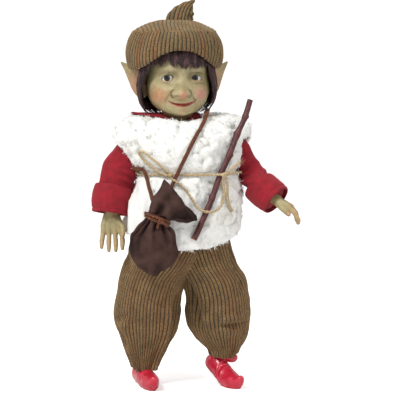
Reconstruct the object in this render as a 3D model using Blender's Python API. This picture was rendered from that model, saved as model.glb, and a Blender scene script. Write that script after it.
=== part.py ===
"""Dressed elf figurine: a stuffed cloth body with a resin head, hands and boots,
in a red shirt, corduroy trousers and hat, a fleece vest, with a twig and a pouch.

Lengths below are in millimetres and angles in degrees. The figure faces -Y, +X is
the figure's left side, +Z is up and the floor is z = 0. Names ending in _right are
on the figure's own right side, at -X.
"""
import math

import bmesh
import bpy
from mathutils import Matrix, Vector, noise

MM = 0.001

# Clearances and cloth
GAP = 0.4            # between two pieces that touch
SHIRT_CLOTH = 1.1
TROUSER_CLOTH = 1.6
FLEECE_LINING = 2.4  # clearance of the fleece over the shirt above the belt
FLEECE_THICKNESS = 7.5
FLEECE_LUMP = 0.9    # height of the fleece curls
FLEECE_ROOM = 0.5    # how far the tallest curl stands up
FLEECE_CURL = 8.5    # spacing of the fleece curls

# Trunk: rows of height, centre x, centre y, half width, half depth
TRUNK_YAW = 13
TRUNK = [
    (96, -15.5, 1, 25, 18),
    (103, -15.5, 1, 32, 23.5),
    (114, -15.0, 1, 34, 25),
    (140, -12.5, 1, 33, 24.5),
    (160, -10.5, 1, 31, 23.5),
    (171, -9.5, 1, 29.5, 23),
    (188, -12.0, 1, 33.5, 22.5),
    (199, -14.0, 1, 34, 18.5),
    (205, -15.0, 1, 27, 14),
    (207, -16.0, 1, 16, 12),
]
TRUNK_LEVELS = (96, 103, 114, 131, 150, 164, 171, 186, 191.5, 197, 203, 207)
SHIRT_HEM = 130
VEST_LEVELS = (0, 0.06, 0.13, 0.2, 0.27, 0.34, 0.4, 0.46, 0.53, 0.6, 0.67, 0.74, 0.81, 0.88, 0.94, 1)
LINING_LEVELS = (0, 0.1, 0.18, 0.25, 0.32, 0.4, 0.5, 0.6, 0.7, 0.79, 1)
TROUSER_WAIST = 147

# Outside of the fleece vest, hem to neck edge, same columns as the trunk
VEST = [
    (113, -16.0, 0, 47, 36.5),
    (121, -16.0, 0, 48, 37.5),
    (140, -14.0, 0, 46.5, 38),
    (158, -11.0, 0, 45, 37),
    (171, -9.0, 0, 43, 34),
    (184, -11.0, 0, 48, 37),
    (196, -14.0, 0, 53, 35.5),
    (206, -14.0, 0, 54.5, 29),
    (212, -14.5, 0.3, 49, 25),
    (215.2, -15.5, 0.5, 35, 22.5),
    (214.2, -18.0, 1.5, 20.5, 19),
]
VEST_SIDE_RISE = 11       # how much higher the hem is at the sides
ARM_ROOM = 4.6            # room for the arm in the fleece, round its sleeve
HAND_ROOM = 13.5          # radius of the same at the hand
NECK_NOTCH = 3            # depth of the notch below the throat
CHIN_DROP = 2.2           # how much lower the neck edge lies under the chin

# Head: rows of front height, back height, half width, front depth, back depth
HEAD_X = -18
HEAD_Y = 0
HEAD_YAW = 10
NECK_RADIUS = 10.5
NECK_BACK = 2             # neck's middle behind the head's axis
HEAD = [
    (213.0, 214.5, 10.8, 9.4, 12.6),
    (216.2, 221.0, 13.0, 16.5, 15.0),
    (217.4, 225.0, 17.0, 22.3, 19.0),
    (220.5, 228.5, 20.3, 25.3, 22.5),
    (225.0, 232.5, 22.8, 26.6, 25.0),
    (231.0, 237.5, 24.3, 27.2, 27.0),
    (237.0, 242.5, 24.7, 27.2, 28.5),
    (243.0, 247.5, 24.1, 26.4, 29.0),
    (249.0, 252.5, 23.7, 26.4, 29.0),
    (256.0, 258.0, 23.6, 26.4, 28.5),
    (264.0, 264.5, 22.4, 25.0, 27.0),
    (271.0, 271.0, 19.2, 21.3, 23.0),
    (276.5, 276.5, 13.5, 15.0, 16.0),
    (279.6, 279.6, 6.5, 7.5, 8.0),
]
EYE_SPACING = 22.4
EYE_Z = 244.6
EYE_RADIUS = 5.6
EYE_DEPTH = 17.8          # eye centre in front of the head's axis
NOSE_LENGTH = 12.5
NOSE_TIP_Z = 233
MOUTH_Z = 224.4
EAR_LENGTH = 33
EAR_WIDTH = 19
EAR_THICKNESS = 3.4
EAR_Z = 234
EAR_SWEEP = 25            # backward from the side
EAR_RISE = 41

# Wig
WIG_FRINGE_Z = 254.5
WIG_LOCK_Z = 229
WIG_NAPE_Z = 224
WIG_THICKNESS = 5.0
WIG_FRINGE_THICKNESS = 4.2
WIG_TOP_THICKNESS = 4.0

# Hat
HAT_X = -20.5
HAT_Y = 2
HAT_RADIUS = 37.6
HAT_DEPTH = 38.2
BRIM_FRONT_Z = 266.5
BRIM_DROP = 13.5
BRIM_TOP_Z = 281
BRIM_THICKNESS = 4.6
CROWN_TOP_Z = 289
CROWN_CLOTH = 2.0
BRIM_SEAT = -7.4          # the brim's inner edge, in from its widest
HAT_TIP = [               # height, centre x and radius of the curled tip
    (289.1, -16.6, 10.7),
    (293.6, -15.6, 9.6),
    (298.6, -13.6, 7.6),
    (301.8, -10.8, 5.4),
    (303.9, -7.6, 3.4),
    (305.0, -5.4, 1.4),
]

# Arms: points of the arm's middle line from shoulder to wrist, right then left
ARM_RIGHT = [(-44, 3, 197), (-56, 1, 185), (-64.5, -3, 167), (-68.5, -7, 152), (-70, -9, 141)]
ARM_LEFT = [(18, 0, 197), (29, 1, 187), (38.5, 1, 172), (46.5, -5, 160), (57.5, -12, 150.5)]
ARM_RADIUS = 6.2
SLEEVE_RIGHT = [9.0, 11.5, 13.0, 13.4, 12.8]
SLEEVE_LEFT = [8.5, 9.0, 9.3, 10.8, 10.8]
SLEEVE_CLOTH = 1.1
CUFF_LENGTH = 18
CUFF_THICKNESS = 1.5

# Legs: rows of height, centre x, centre y, half width, half depth outside the cloth
TROUSER_HIPS = [
    (84, -14.5, 0, 15, 15),
    (88, -15.0, 0, 25, 21),
    (94, -16.0, 0, 34, 26),
    (103, -16.5, 0, 40, 30),
    (112, -16.5, 0, 41.5, 31),
    (122, -15.5, 0, 39.5, 30),
    (133, -13.5, 1, 37.4, 29.2),
]
TROUSER_RIGHT = [
    (14.5, -44.8, 8.0, 10.3, 13.8),
    (20, -44.6, 7.5, 12.8, 14.4),
    (31, -43.5, 6, 18.5, 17.5),
    (44, -42.5, 4, 24, 21),
    (57, -42.2, 2.5, 26.2, 23.5),
    (72, -40.8, 0.5, 26, 25),
    (88, -37, -1, 27, 26.5),
    (102, -33, -2, 27.5, 27),
    (116, -30, -1, 26, 26),
]
TROUSER_LEFT = [
    (24, 18.2, 10.5, 10.8, 13.2),
    (29, 18.5, 10.5, 13.5, 14),
    (36, 16.5, 9.5, 20, 18),
    (46, 14.5, 8, 24.3, 21),
    (57, 13.8, 6, 25.8, 23),
    (72, 13.2, 5, 25.6, 24),
    (86, 9.5, 3, 26.5, 25.5),
    (99, 2, 2, 26, 26),
    (113, -3, 1, 26, 25),
]
HEM_FRONT_DROP = 2
HEM_GATHERS = 5
LEG_RADIUS = 6.4
LEG_RIGHT = [(-30, 1, 95.6), (-38, 4.5, 58), (-44.8, 10.3, 24)]
LEG_LEFT = [(0, 1, 95.6), (10, 6, 60), (18.2, 12, 29)]

# Boots: place of the foot's middle, turn, heel lift and height of the shaft
BOOT_WIDTH = 17
BOOT_RIGHT = (-44.3, 1.5)
BOOT_RIGHT_YAW = 17
BOOT_RIGHT_PITCH = 0
BOOT_LEFT = (16.4, 6.0)
BOOT_LEFT_YAW = 33
BOOT_LEFT_PITCH = 27

# Hand: lengths of a palm and its digits
PALM_LENGTH = 14
PALM_WIDTH = 18.5
FINGER_RADIUS = 2.1
FINGER_LENGTH = 15.5
WRIST_STUMP = 7

# Twig
TWIG_RADIUS = 2.3
TWIG = [
    (-5.2, 121.8), (-1.1, 130), (3.4, 140.1), (7.4, 149.1), (11.2, 159.3), (14.6, 168.8),
    (18.6, 177.4), (21.8, 184.2), (25.2, 193.2), (29.2, 203.1), (34.4, 214.2), (38.6, 227.5),
]

# Twine and strap
TWINE_RADIUS = 1.05
BELT_Z = 171
BELT_SINK = 0.6           # how far the belt presses into the fleece
BELT_GROOVE = 2.0         # depth of the fleece's waist under the belt
BOW_KNOT = (-23.0, 171.0)
TWIG_KNOT = (18.2, 170.6)
KNOT_RADIUS = 2.3
STRAP_WIDTH = 3.0
STRAP_THICKNESS = 1.5
LACE_WIDTH = 3.6
LACE_THICKNESS = 1.6

# Pouch: rows of centre x, height, half width and half depth, from the bottom up
POUCH_Y = -47
POUCH_NECK = (-32.8, 139.0)
POUCH_NECK_WIDTH = 8.0
POUCH_NECK_DEPTH = 5.2
POUCH_NECK_TILT = 20
POUCH_BAG = [
    (-35.0, 95.0, 2.0, 1.8),
    (-35.0, 98.5, 7.5, 3.8),
    (-35.5, 104, 13.5, 5.8),
    (-36.0, 111, 18.8, 7.4),
    (-37.0, 119, 18.4, 8.0),
    (-36.8, 126.0, 16.4, 7.6),
    (-36.2, 130.5, 12.6, 6.6),
]
POUCH_FLARE_LENGTH = 22
POUCH_FLARE_WIDTH = 20
POUCH_FLARE_DEPTH = 6
POUCH_FLARE_TILT = 52
POUCH_CLOTH = 1.6


def clear_scene():
    for item in list(bpy.data.objects):
        bpy.data.objects.remove(item, do_unlink=True)


def material(name, colour, roughness, metallic=0.0):
    """A Principled material from linear RGB."""
    mat = bpy.data.materials.get(name)
    if mat:
        return mat
    mat = bpy.data.materials.new(name)
    mat.use_nodes = True
    shader = mat.node_tree.nodes["Principled BSDF"]
    shader.inputs["Base Color"].default_value = (*colour, 1.0)
    shader.inputs["Roughness"].default_value = roughness
    shader.inputs["Metallic"].default_value = metallic
    mat.diffuse_color = (*colour, 1.0)
    return mat


def resin():
    return material("painted_resin", (0.36, 0.30, 0.13), 0.5)


def corduroy():
    return material("corduroy", (0.24, 0.15, 0.08), 0.95)


def fleece():
    return material("fleece", (0.85, 0.84, 0.78), 0.95)


def red_cloth():
    return material("red_cloth", (0.42, 0.015, 0.025), 0.9)


def body_cloth():
    return material("body_cloth", (0.62, 0.50, 0.36), 0.95)


def red_resin():
    return material("gloss_red_resin", (0.72, 0.03, 0.05), 0.2)


def twine():
    return material("twine", (0.66, 0.48, 0.30), 0.95)


def leather():
    return material("suede_lace", (0.27, 0.08, 0.03), 0.85)


def lerp(a, b, t):
    return a + (b - a) * t


def smooth(t):
    t = min(max(t, 0.0), 1.0)
    return t * t * (3 - 2 * t)


def bump(x, centre, width):
    """A smooth bump of height 1."""
    return math.exp(-((x - centre) / width) ** 2)


def spline(rows, t):
    """A smooth curve through rows of numbers, t from 0 to 1 along the list."""
    last = len(rows) - 1
    place = min(max(t, 0.0), 1.0) * last
    i = min(int(place), last - 1)
    f = place - i
    before = rows[max(i - 1, 0)]
    start = rows[i]
    end = rows[i + 1]
    after = rows[min(i + 2, last)]
    out = []
    for p0, p1, p2, p3 in zip(before, start, end, after):
        m1 = (p2 - p0) / 2
        m2 = (p3 - p1) / 2
        f2 = f * f
        f3 = f2 * f
        out.append((2 * f3 - 3 * f2 + 1) * p1 + (f3 - 2 * f2 + f) * m1
                   + (3 * f2 - 2 * f3) * p2 + (f3 - f2) * m2)
    return out


def row_at(rows, z):
    """The row of a rising section table at height z, cut off at its ends."""
    if z <= rows[0][0]:
        return rows[0]
    if z >= rows[-1][0]:
        return rows[-1]
    low, high = 0.0, 1.0
    for _ in range(30):
        middle = (low + high) / 2
        if spline(rows, middle)[0] < z:
            low = middle
        else:
            high = middle
    return spline(rows, low)


def turned(x, y, yaw):
    """A plan offset turned about Z; a positive yaw turns the front towards +X."""
    angle = math.radians(yaw)
    return (x * math.cos(angle) - y * math.sin(angle), x * math.sin(angle) + y * math.cos(angle))


def oval(row, count, yaw=0.0, grow=0.0, lift=0.0):
    """A level ring of points; point 0 is at the front and the ring turns towards +X."""
    z, cx, cy, half_width, half_depth = row
    ring = []
    for k in range(count):
        angle = 2 * math.pi * k / count
        dx, dy = turned((half_width + grow) * math.sin(angle), -(half_depth + grow) * math.cos(angle), yaw)
        ring.append(Vector((cx + dx, cy + dy, z + lift)))
    return ring


def make(name, verts, faces, mat):
    mesh = bpy.data.meshes.new(name)
    mesh.from_pydata([Vector(v) * MM for v in verts], [], faces)
    work = bmesh.new()
    work.from_mesh(mesh)
    bmesh.ops.recalc_face_normals(work, faces=work.faces)
    work.to_mesh(mesh)
    work.free()
    mesh.shade_smooth()
    item = bpy.data.objects.new(name, mesh)
    item.data.materials.append(mat)
    bpy.context.collection.objects.link(item)
    return item


def ring_mesh(rings, loop):
    """Points and faces of the skin over rings. A loop joins the last ring to the first;
    otherwise both ends are closed with a fan round their middle."""
    count = len(rings[0])
    verts = [point for ring in rings for point in ring]
    faces = []
    spans = len(rings) if loop else len(rings) - 1
    for i in range(spans):
        a = i * count
        b = ((i + 1) % len(rings)) * count
        for k in range(count):
            n = (k + 1) % count
            faces.append((a + k, a + n, b + n, b + k))
    if not loop:
        for first in (0, (len(rings) - 1) * count):
            middle = sum((Vector(p) for p in verts[first:first + count]), Vector()) / count
            verts.append(middle)
            centre = len(verts) - 1
            for k in range(count):
                faces.append((centre, first + k, first + (k + 1) % count))
    return verts, faces


def loft(name, rings, mat, loop=False):
    verts, faces = ring_mesh(rings, loop)
    return make(name, verts, faces, mat)


def helper(item):
    item.hide_render = True
    item.display_type = "WIRE"
    return item


def combine(item, other, operation):
    mod = item.modifiers.new(operation.lower(), "BOOLEAN")
    mod.operation = operation
    mod.solver = "EXACT"
    mod.object = helper(other)
    return item


def cut(item, other):
    return combine(item, other, "DIFFERENCE")


def join(item, other):
    return combine(item, other, "UNION")


def tube_rings(path, radii, count, ratio=1.0):
    """Rings across a path; ratio flattens them along the second direction."""
    rings = []
    carried = None
    for i, point in enumerate(path):
        ahead = (path[min(i + 1, len(path) - 1)] - path[max(i - 1, 0)]).normalized()
        if carried is None:
            guess = Vector((0, 1, 0)) if abs(ahead.y) < 0.8 else Vector((1, 0, 0))
            carried = guess
        side = (carried - ahead * carried.dot(ahead)).normalized()
        carried = side
        other = ahead.cross(side)
        ring = []
        for k in range(count):
            angle = 2 * math.pi * k / count
            ring.append(point + side * (math.cos(angle) * radii[i] * ratio)
                        + other * (math.sin(angle) * radii[i]))
        rings.append(ring)
    return rings


def tube(name, path, radii, count, mat, ratio=1.0):
    return loft(name, tube_rings(path, radii, count, ratio), mat)


def ring_band(name, path, half_width, half_thickness, outward, mat, closed=True, count=8):
    """A soft band swept along a path, flat against a surface whose outward direction
    is outward(point)."""
    rings = []
    total = len(path)
    for i, point in enumerate(path):
        if closed:
            ahead = (path[(i + 1) % total] - path[(i - 1) % total]).normalized()
        else:
            ahead = (path[min(i + 1, total - 1)] - path[max(i - 1, 0)]).normalized()
        out = outward(point)
        out = (out - ahead * out.dot(ahead)).normalized()
        side = ahead.cross(out)
        ring = []
        for k in range(count):
            angle = 2 * math.pi * (k + 0.5) / count
            ring.append(point + side * (math.cos(angle) * half_width)
                        + out * (math.sin(angle) * half_thickness))
        rings.append(ring)
    return loft(name, rings, mat, loop=closed)


def curve_points(points, count):
    """count points along a smooth curve through points, evenly spaced in length."""
    rows = [tuple(p) for p in points]
    dense = [Vector(spline(rows, i / 400)) for i in range(401)]
    lengths = [0.0]
    for a, b in zip(dense, dense[1:]):
        lengths.append(lengths[-1] + (b - a).length)
    out = []
    j = 0
    for i in range(count):
        want = lengths[-1] * i / (count - 1)
        while j < 399 and lengths[j + 1] < want:
            j += 1
        step = lengths[j + 1] - lengths[j]
        out.append(dense[j].lerp(dense[j + 1], (want - lengths[j]) / step if step else 0.0))
    return out


def blob(name, chains, mat, voxel, faces, floor=None):
    """One smooth closed body from chains of touching balls, each (point, radius)."""
    work = bmesh.new()
    for chain in chains:
        for (p, rp), (q, rq) in zip(chain, chain[1:]):
            steps = max(2, int((q - p).length / (0.4 * min(rp, rq))))
            for i in range(steps + 1):
                place = p.lerp(q, i / steps) * MM
                bmesh.ops.create_icosphere(work, subdivisions=2, radius=lerp(rp, rq, i / steps) * MM,
                                           matrix=Matrix.Translation(place))
    return skin(name, work, mat, voxel, faces, 3, floor)


def merged(name, sets, mat, voxel, faces):
    """One closed body from lofts that overlap."""
    work = bmesh.new()
    for rings in sets:
        verts, polygons = ring_mesh(rings, False)
        spots = [work.verts.new(v * MM) for v in verts]
        for polygon in polygons:
            work.faces.new([spots[i] for i in polygon])
    bmesh.ops.recalc_face_normals(work, faces=work.faces)
    return skin(name, work, mat, voxel, faces, 1)


def skin(name, work, mat, voxel, faces, rounds, floor=None):
    """The outside of the overlapping bodies in work, smoothed and thinned out."""
    mesh = bpy.data.meshes.new(name)
    work.to_mesh(mesh)
    work.free()
    item = bpy.data.objects.new(name, mesh)
    mesh.materials.append(mat)
    bpy.context.collection.objects.link(item)
    remesh = item.modifiers.new("skin", "REMESH")
    remesh.mode = "VOXEL"
    remesh.voxel_size = voxel * MM
    remesh.use_smooth_shade = True
    soften = item.modifiers.new("soften", "SMOOTH")
    soften.factor = 0.5
    soften.iterations = rounds
    bpy.context.view_layer.update()
    graph = bpy.context.evaluated_depsgraph_get()
    full = item.evaluated_get(graph).to_mesh()
    thin = item.modifiers.new("thin", "DECIMATE")
    thin.ratio = faces / (2 * len(full.polygons))
    item.evaluated_get(graph).to_mesh_clear()
    bpy.context.view_layer.update()
    graph = bpy.context.evaluated_depsgraph_get()
    final = bpy.data.meshes.new_from_object(item.evaluated_get(graph))
    item.modifiers.clear()
    item.data = final
    if floor is not None:
        for vertex in final.vertices:
            if vertex.co.z < floor * MM:
                vertex.co.z = 0.0
    final.shade_smooth()
    return item


def vest_depth(x, z, back=False):
    """The y of the vest's smooth outside at a place x, z, at its front or back."""
    _, cx, cy, a, b = row_at(VEST, z)
    dx = x - cx
    angle = math.radians(TRUNK_YAW)
    c, s = math.cos(angle), math.sin(angle)
    qa = s * s / a ** 2 + c * c / b ** 2
    qb = 2 * dx * s * c * (1 / a ** 2 - 1 / b ** 2)
    qc = dx * dx * (c * c / a ** 2 + s * s / b ** 2) - 1
    root = math.sqrt(max(qb * qb - 4 * qa * qc, 0.0))
    dy = (-qb + root) / (2 * qa) if back else (-qb - root) / (2 * qa)
    return cy + dy


def from_trunk(point):
    """The level outward direction from the trunk's middle line."""
    _, cx, cy, a, b = row_at(VEST, point.z)
    dx, dy = turned(point.x - cx, point.y - cy, -TRUNK_YAW)
    nx, ny = turned(dx / a ** 2, dy / b ** 2, TRUNK_YAW)
    return Vector((nx, ny, 0)).normalized()


def stuffed_torso():
    rings = [oval(row_at(TRUNK, z), 16, TRUNK_YAW) for z in TRUNK_LEVELS]
    return loft("stuffed_torso", rings, body_cloth())


def shirt_rings(grow, neck):
    """The shirt follows the trunk's own levels, so that its clearance stays even."""
    middle = neck_middle()
    rings = [oval(row_at(TRUNK, z), 16, TRUNK_YAW, grow, grow * smooth((z - 195) / 10))
             for z in TRUNK_LEVELS if z >= SHIRT_HEM]
    rings.append(oval((TRUNK[-1][0] + grow + 0.6, middle.x, middle.y, neck, neck), 16, TRUNK_YAW))
    return rings


def shirt_body():
    neck = NECK_RADIUS + 2 * GAP
    outer = shirt_rings(GAP + SHIRT_CLOTH, neck)
    inner = shirt_rings(GAP, neck)
    return loft("shirt_body", outer + inner[::-1], red_cloth(), loop=True)


def vest_inside(row, t):
    """Centre, half width, half depth and drop of the lining at a section of the vest."""
    z, cx, cy, a, b = row
    if t == 1:
        return cx, cy, a, b, FLEECE_THICKNESS * 0.6
    _, ux, uy, wide, deep = row_at(TRUNK, min(z, 205))
    belted = 1 - smooth((z - TROUSER_WAIST - 1) / 8)
    over = lerp(FLEECE_LINING, TROUSER_CLOTH + SHIRT_CLOTH + 5 * GAP, belted)
    wide += over
    deep += over
    if z < 133:
        _, hx, hy, hip, rump = row_at(TROUSER_HIPS, max(z, 112))
        wide = max(wide, hip + 3 * GAP)
        deep = max(deep, rump + 3 * GAP)
        ux, uy = hx, hy
    shoulder = smooth((z - 178) / 14)
    wide = lerp(wide, a - FLEECE_THICKNESS, shoulder)
    deep = lerp(deep, b - FLEECE_THICKNESS, smooth((z - 200) / 6))
    deep = max(deep, VEST[-1][4] + 2.6) if t > 0.75 else deep
    drop = FLEECE_THICKNESS * 0.75 * smooth((z - 206) / 7)
    return lerp(ux, cx, shoulder), lerp(uy, cy, smooth((z - 200) / 6)), wide, deep, drop


def vest_rings(count, levels, inner):
    """Rings from hem to neck edge; inner rings follow the clothes underneath."""
    rings = []
    for t in levels:
        row = spline(VEST, t)
        z, cx, cy, a, b = row
        if inner:
            cx, cy, wide, deep, drop = vest_inside(row, t)
        rise = VEST_SIDE_RISE * (1 - smooth(t / 0.35))
        edge = smooth(t / 0.05) * smooth((1 - t) / 0.08) * (1 - bump(z, BELT_Z, 5))
        neck = smooth((t - 0.74) / 0.2)
        ring = []
        for k in range(count):
            angle = 2 * math.pi * k / count
            front = math.cos(angle)
            up = rise * math.sin(angle) ** 2 - CHIN_DROP * neck * max(front, 0)
            up -= NECK_NOTCH * neck * smooth((front - 0.982) / 0.012)
            if inner:
                dx, dy = turned(wide * math.sin(angle), -deep * front, TRUNK_YAW)
                ring.append(Vector((cx + dx, cy + dy, z + up - drop)))
                continue
            place = Vector((a * math.sin(angle), -b * front, z))
            lump = FLEECE_LUMP * noise.noise(place * (1.4 / FLEECE_CURL)) * edge
            beside = math.sin(angle) ** 4
            out = lump - (BELT_GROOVE + 1.5 * beside) * bump(z, BELT_Z, 5)
            dx, dy = turned((a + out) * math.sin(angle), -(b + out) * front, TRUNK_YAW)
            point = Vector((cx + dx, cy + dy, z + up + lump * smooth((z - 206) / 8)))
            ring.append(behind_twig(point))
        rings.append(ring)
    return rings


def behind_twig(point):
    """The fleece is pressed back along the twig."""
    if point.y > 0 or not TWIG[0][1] - 6 < point.z < TWIG[-1][1]:
        return point
    stick = twig_at(point.z)
    if abs(point.x - stick.x) < 9.5:
        point.y = max(point.y, stick.y + TWIG_RADIUS + 2 * GAP)
    return point


def vest():
    outer = vest_rings(28, VEST_LEVELS, False)
    inner = vest_rings(28, LINING_LEVELS, True)
    item = loft("vest", outer + inner[::-1], fleece(), loop=True)
    for name, path, radii in (("right", ARM_RIGHT, SLEEVE_RIGHT), ("left", ARM_LEFT, SLEEVE_LEFT)):
        cut(item, arm_room(name, [Vector(p) for p in path], radii))
    return item


def arm_room(name, points, radii):
    """The armhole and the hollow that the arm presses into the fleece below it."""
    path = arm_path(points, 9)
    sizes = [spline([(r,) for r in radii], i / 8)[0] + ARM_ROOM for i in range(9)]
    path[0] += (path[0] - path[1]).normalized() * 6
    ahead = (path[-1] - path[-2]).normalized()
    path += [path[-1] + ahead * 8, path[-1] + ahead * 30]
    sizes += [sizes[-1], HAND_ROOM]
    return loft("arm_room_" + name, tube_rings(path, sizes, 14), fleece())


def clear_of_arms(point, room):
    """Moves a point level towards the trunk until it is clear of both sleeves."""
    _, cx, cy, _, _ = row_at(TRUNK, point.z)
    inward = Vector((cx - point.x, cy - point.y, 0)).normalized()
    out = point.copy()
    for path, radii in ((ARM_RIGHT, SLEEVE_RIGHT), (ARM_LEFT, SLEEVE_LEFT)):
        line = arm_path([Vector(p) for p in path], 40)
        for _ in range(60):
            near = min(range(40), key=lambda i: (line[i] - out).length)
            size = spline([(r,) for r in radii], near / 39)[0] + 0.5 + room
            if (line[near] - out).length >= size:
                break
            out += inward * 0.3
    return out


def arm_path(points, count):
    return curve_points(points, count)


def stuffed_arm(name, points):
    """Ends above the stump of the hand."""
    wrist = points[-1]
    stump = WRIST_STUMP + 5.6
    path = [p for p in arm_path(points, 40) if (p - wrist).length > stump]
    path = curve_points(path, 7)
    radii = [ARM_RADIUS * lerp(1.0, 0.76, i / 6) for i in range(7)]
    item = tube(name, path, radii, 8, body_cloth())
    return cut(item, trunk_room(name + "_trunk_room"))


def sleeve_rings(points, radii, grow, count=12, steps=8):
    path = arm_path(points, steps)
    sizes = []
    for i in range(steps):
        t = i / (steps - 1)
        fold = 0.5 * math.sin(9 * t * math.pi) * smooth(t / 0.2)
        sizes.append(spline([(r,) for r in radii], t)[0] + fold + grow)
    return tube_rings(path, sizes, count)


def sleeve(name, points, radii):
    outer = sleeve_rings(points, radii, 0.0)
    inner = sleeve_rings(points, radii, -SLEEVE_CLOTH)
    item = loft(name, outer + inner[::-1], red_cloth(), loop=True)
    return cut(item, trunk_room(name + "_trunk_room"))


def cuff_rings(points, radii, grow):
    path = arm_path(points, 40)
    length = 0.0
    start = len(path) - 1
    while start > 0 and length < CUFF_LENGTH:
        length += (path[start] - path[start - 1]).length
        start -= 1
    end = path[-1] + (path[-1] - path[-2]).normalized() * 2.5
    part = curve_points(path[start:] + [end], 4)
    sizes = []
    for i in range(4):
        t = lerp(start / (len(path) - 1), 1.0, i / 3)
        sizes.append(spline([(r,) for r in radii], t)[0] + 0.5 + GAP + grow)
    return tube_rings(part, sizes, 12)


def sleeve_cuff(name, points, radii):
    outer = cuff_rings(points, radii, CUFF_THICKNESS)
    inner = cuff_rings(points, radii, 0.0)
    return loft(name, outer + inner[::-1], red_cloth(), loop=True)


def head_row(u):
    """Front height, back height, half width, front depth and back depth at u, 0 to 1."""
    return spline(HEAD, u)


def head_local(angle, u):
    """A point of the plain skull about the head's axis, before its features."""
    zf, zb, a, f, b = head_row(u)
    c = math.cos(angle)
    depth = f if c > 0 else b
    blend = (1 + c) / 2
    return Vector((a * math.sin(angle), -depth * c, lerp(zb, zf, blend)))


def head_normal(angle, u):
    step = 0.01
    across = head_local(angle + step, u) - head_local(angle - step, u)
    up = head_local(angle, min(u + step, 1)) - head_local(angle, max(u - step, 0))
    return across.cross(up).normalized()


def face_relief(x, z):
    """How far the face stands forward of the skull at x from its middle, height z."""
    side = abs(x)
    eye = EYE_SPACING / 2
    down = (z - NOSE_TIP_Z) / NOSE_LENGTH
    ridge = smooth(1 - down) * smooth((z - NOSE_TIP_Z + 4.2) / 3.4) if down < 1 else 0.0
    out = (1.4 + 8.6 * ridge) * ridge * bump(side, 0, 3.0 + 2.2 * ridge)
    out += 3.2 * bump(side, 5.2, 2.4) * bump(z, NOSE_TIP_Z - 0.4, 2.8)
    out -= 2.4 * bump(side, eye, 6.5) * bump(z, EYE_Z, 4.6)
    out += 1.0 * bump(side, eye - 1, 8) * bump(z, EYE_Z + 7, 3)
    out += 1.9 * bump(side, 14, 7) * bump(z, NOSE_TIP_Z + 1, 6)
    smile = MOUTH_Z + 0.018 * side * side
    out += 1.5 * bump(side, 0, 9) * bump(z, smile + 2.6, 2.2)
    out += 1.5 * bump(side, 0, 8) * bump(z, smile - 2.4, 1.9)
    out -= 0.8 * bump(side, 0, 9) * bump(z, smile, 1.0)
    out += 1.7 * bump(side, 0, 6) * bump(z, 218.6, 3)
    return out


def to_head(point):
    """Places a point about the head's axis into the figure."""
    x, y = turned(point.x, point.y, HEAD_YAW)
    return Vector((HEAD_X + x, HEAD_Y + y, point.z))


def head_angle(k, count):
    """Angles round the head, closer together across the face."""
    s = 2 * k / count
    if s > 1:
        s -= 2
    return math.pi * s * (0.52 + 0.48 * s * s)


def ear_rings(side, grow):
    sweep = math.radians(EAR_SWEEP)
    rise = math.radians(EAR_RISE)
    flat = Vector((side * math.cos(sweep), math.sin(sweep), 0))
    along = flat * math.cos(rise) + Vector((0, 0, math.sin(rise)))
    facing = Vector((side * math.sin(sweep), -math.cos(sweep), 0))
    across = Vector((0, 0, 1)) * math.cos(rise) - flat * math.sin(rise)
    root = Vector((side * 20.5, 4, EAR_Z))
    rings = []
    for t, wide, thick, shift in ((0.0, 0.80, 1.5, 0.0), (0.16, 0.98, 1.2, -0.4), (0.34, 0.92, 1.0, -0.2),
                                  (0.55, 0.66, 0.9, 0.4), (0.76, 0.36, 0.8, 0.8), (0.92, 0.16, 0.6, 0.9),
                                  (1.0, 0.05, 0.35, 0.9)):
        half = EAR_WIDTH / 2 * wide + grow
        deep = EAR_THICKNESS / 2 * thick + grow
        centre = root + along * (EAR_LENGTH * t + (grow if t == 1.0 else 0)) + across * shift
        ring = []
        for k in range(10):
            angle = 2 * math.pi * k / 10
            c, s = math.cos(angle), math.sin(angle)
            hollow = 0.9 * thick * max(s, 0.0) * (1 - c * c) if not grow else 0.0
            curl = 1.6 * c * c * (1 - t)
            ring.append(to_head(centre + across * (half * c) + facing * (deep * s - hollow + curl)))
        rings.append(ring)
    return rings


def neck_middle():
    return to_head(Vector((0, NECK_BACK, 0)))


def head_rings(grow, count, levels):
    """The neck and head, grown outward by a clearance."""
    middle = neck_middle()
    radius = NECK_RADIUS + grow
    foot = TRUNK[-1][0] + GAP - 2 * grow
    rings = []
    ring = []
    for k in range(count):
        angle = head_angle(k, count)
        dx, dy = turned(radius * math.sin(angle), -radius * math.cos(angle), HEAD_YAW)
        ring.append(Vector((middle.x + dx, middle.y + dy, foot)))
    rings.append(ring)
    for i in range(levels):
        u = i / (levels - 1)
        ring = []
        for k in range(count):
            angle = head_angle(k, count)
            point = head_local(angle, u)
            front = smooth((math.cos(angle) - 0.1) / 0.5)
            out = face_relief(point.x, point.z) * front if i > 0 else 0.0
            ring.append(to_head(point + head_normal(angle, u) * (out + grow)))
        rings.append(ring)
    return rings


def head():
    item = loft("head", head_rings(0.0, 24, 18), resin())
    for side, name in ((-1, "right"), (1, "left")):
        join(item, loft("ear_" + name, ear_rings(side, 0.0), resin()))
    for side, name in ((-1, "right"), (1, "left")):
        cut(item, ball("eye_socket_" + name, eye_centre(side), EYE_RADIUS + GAP, resin(), 12, 8))
    return item


def head_room(name):
    """The space that the head needs in what lies on it."""
    return loft(name, head_rings(GAP * 1.6, 16, 9), resin())


def eye_centre(side):
    return to_head(Vector((side * EYE_SPACING / 2, -EYE_DEPTH, EYE_Z)))


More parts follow.
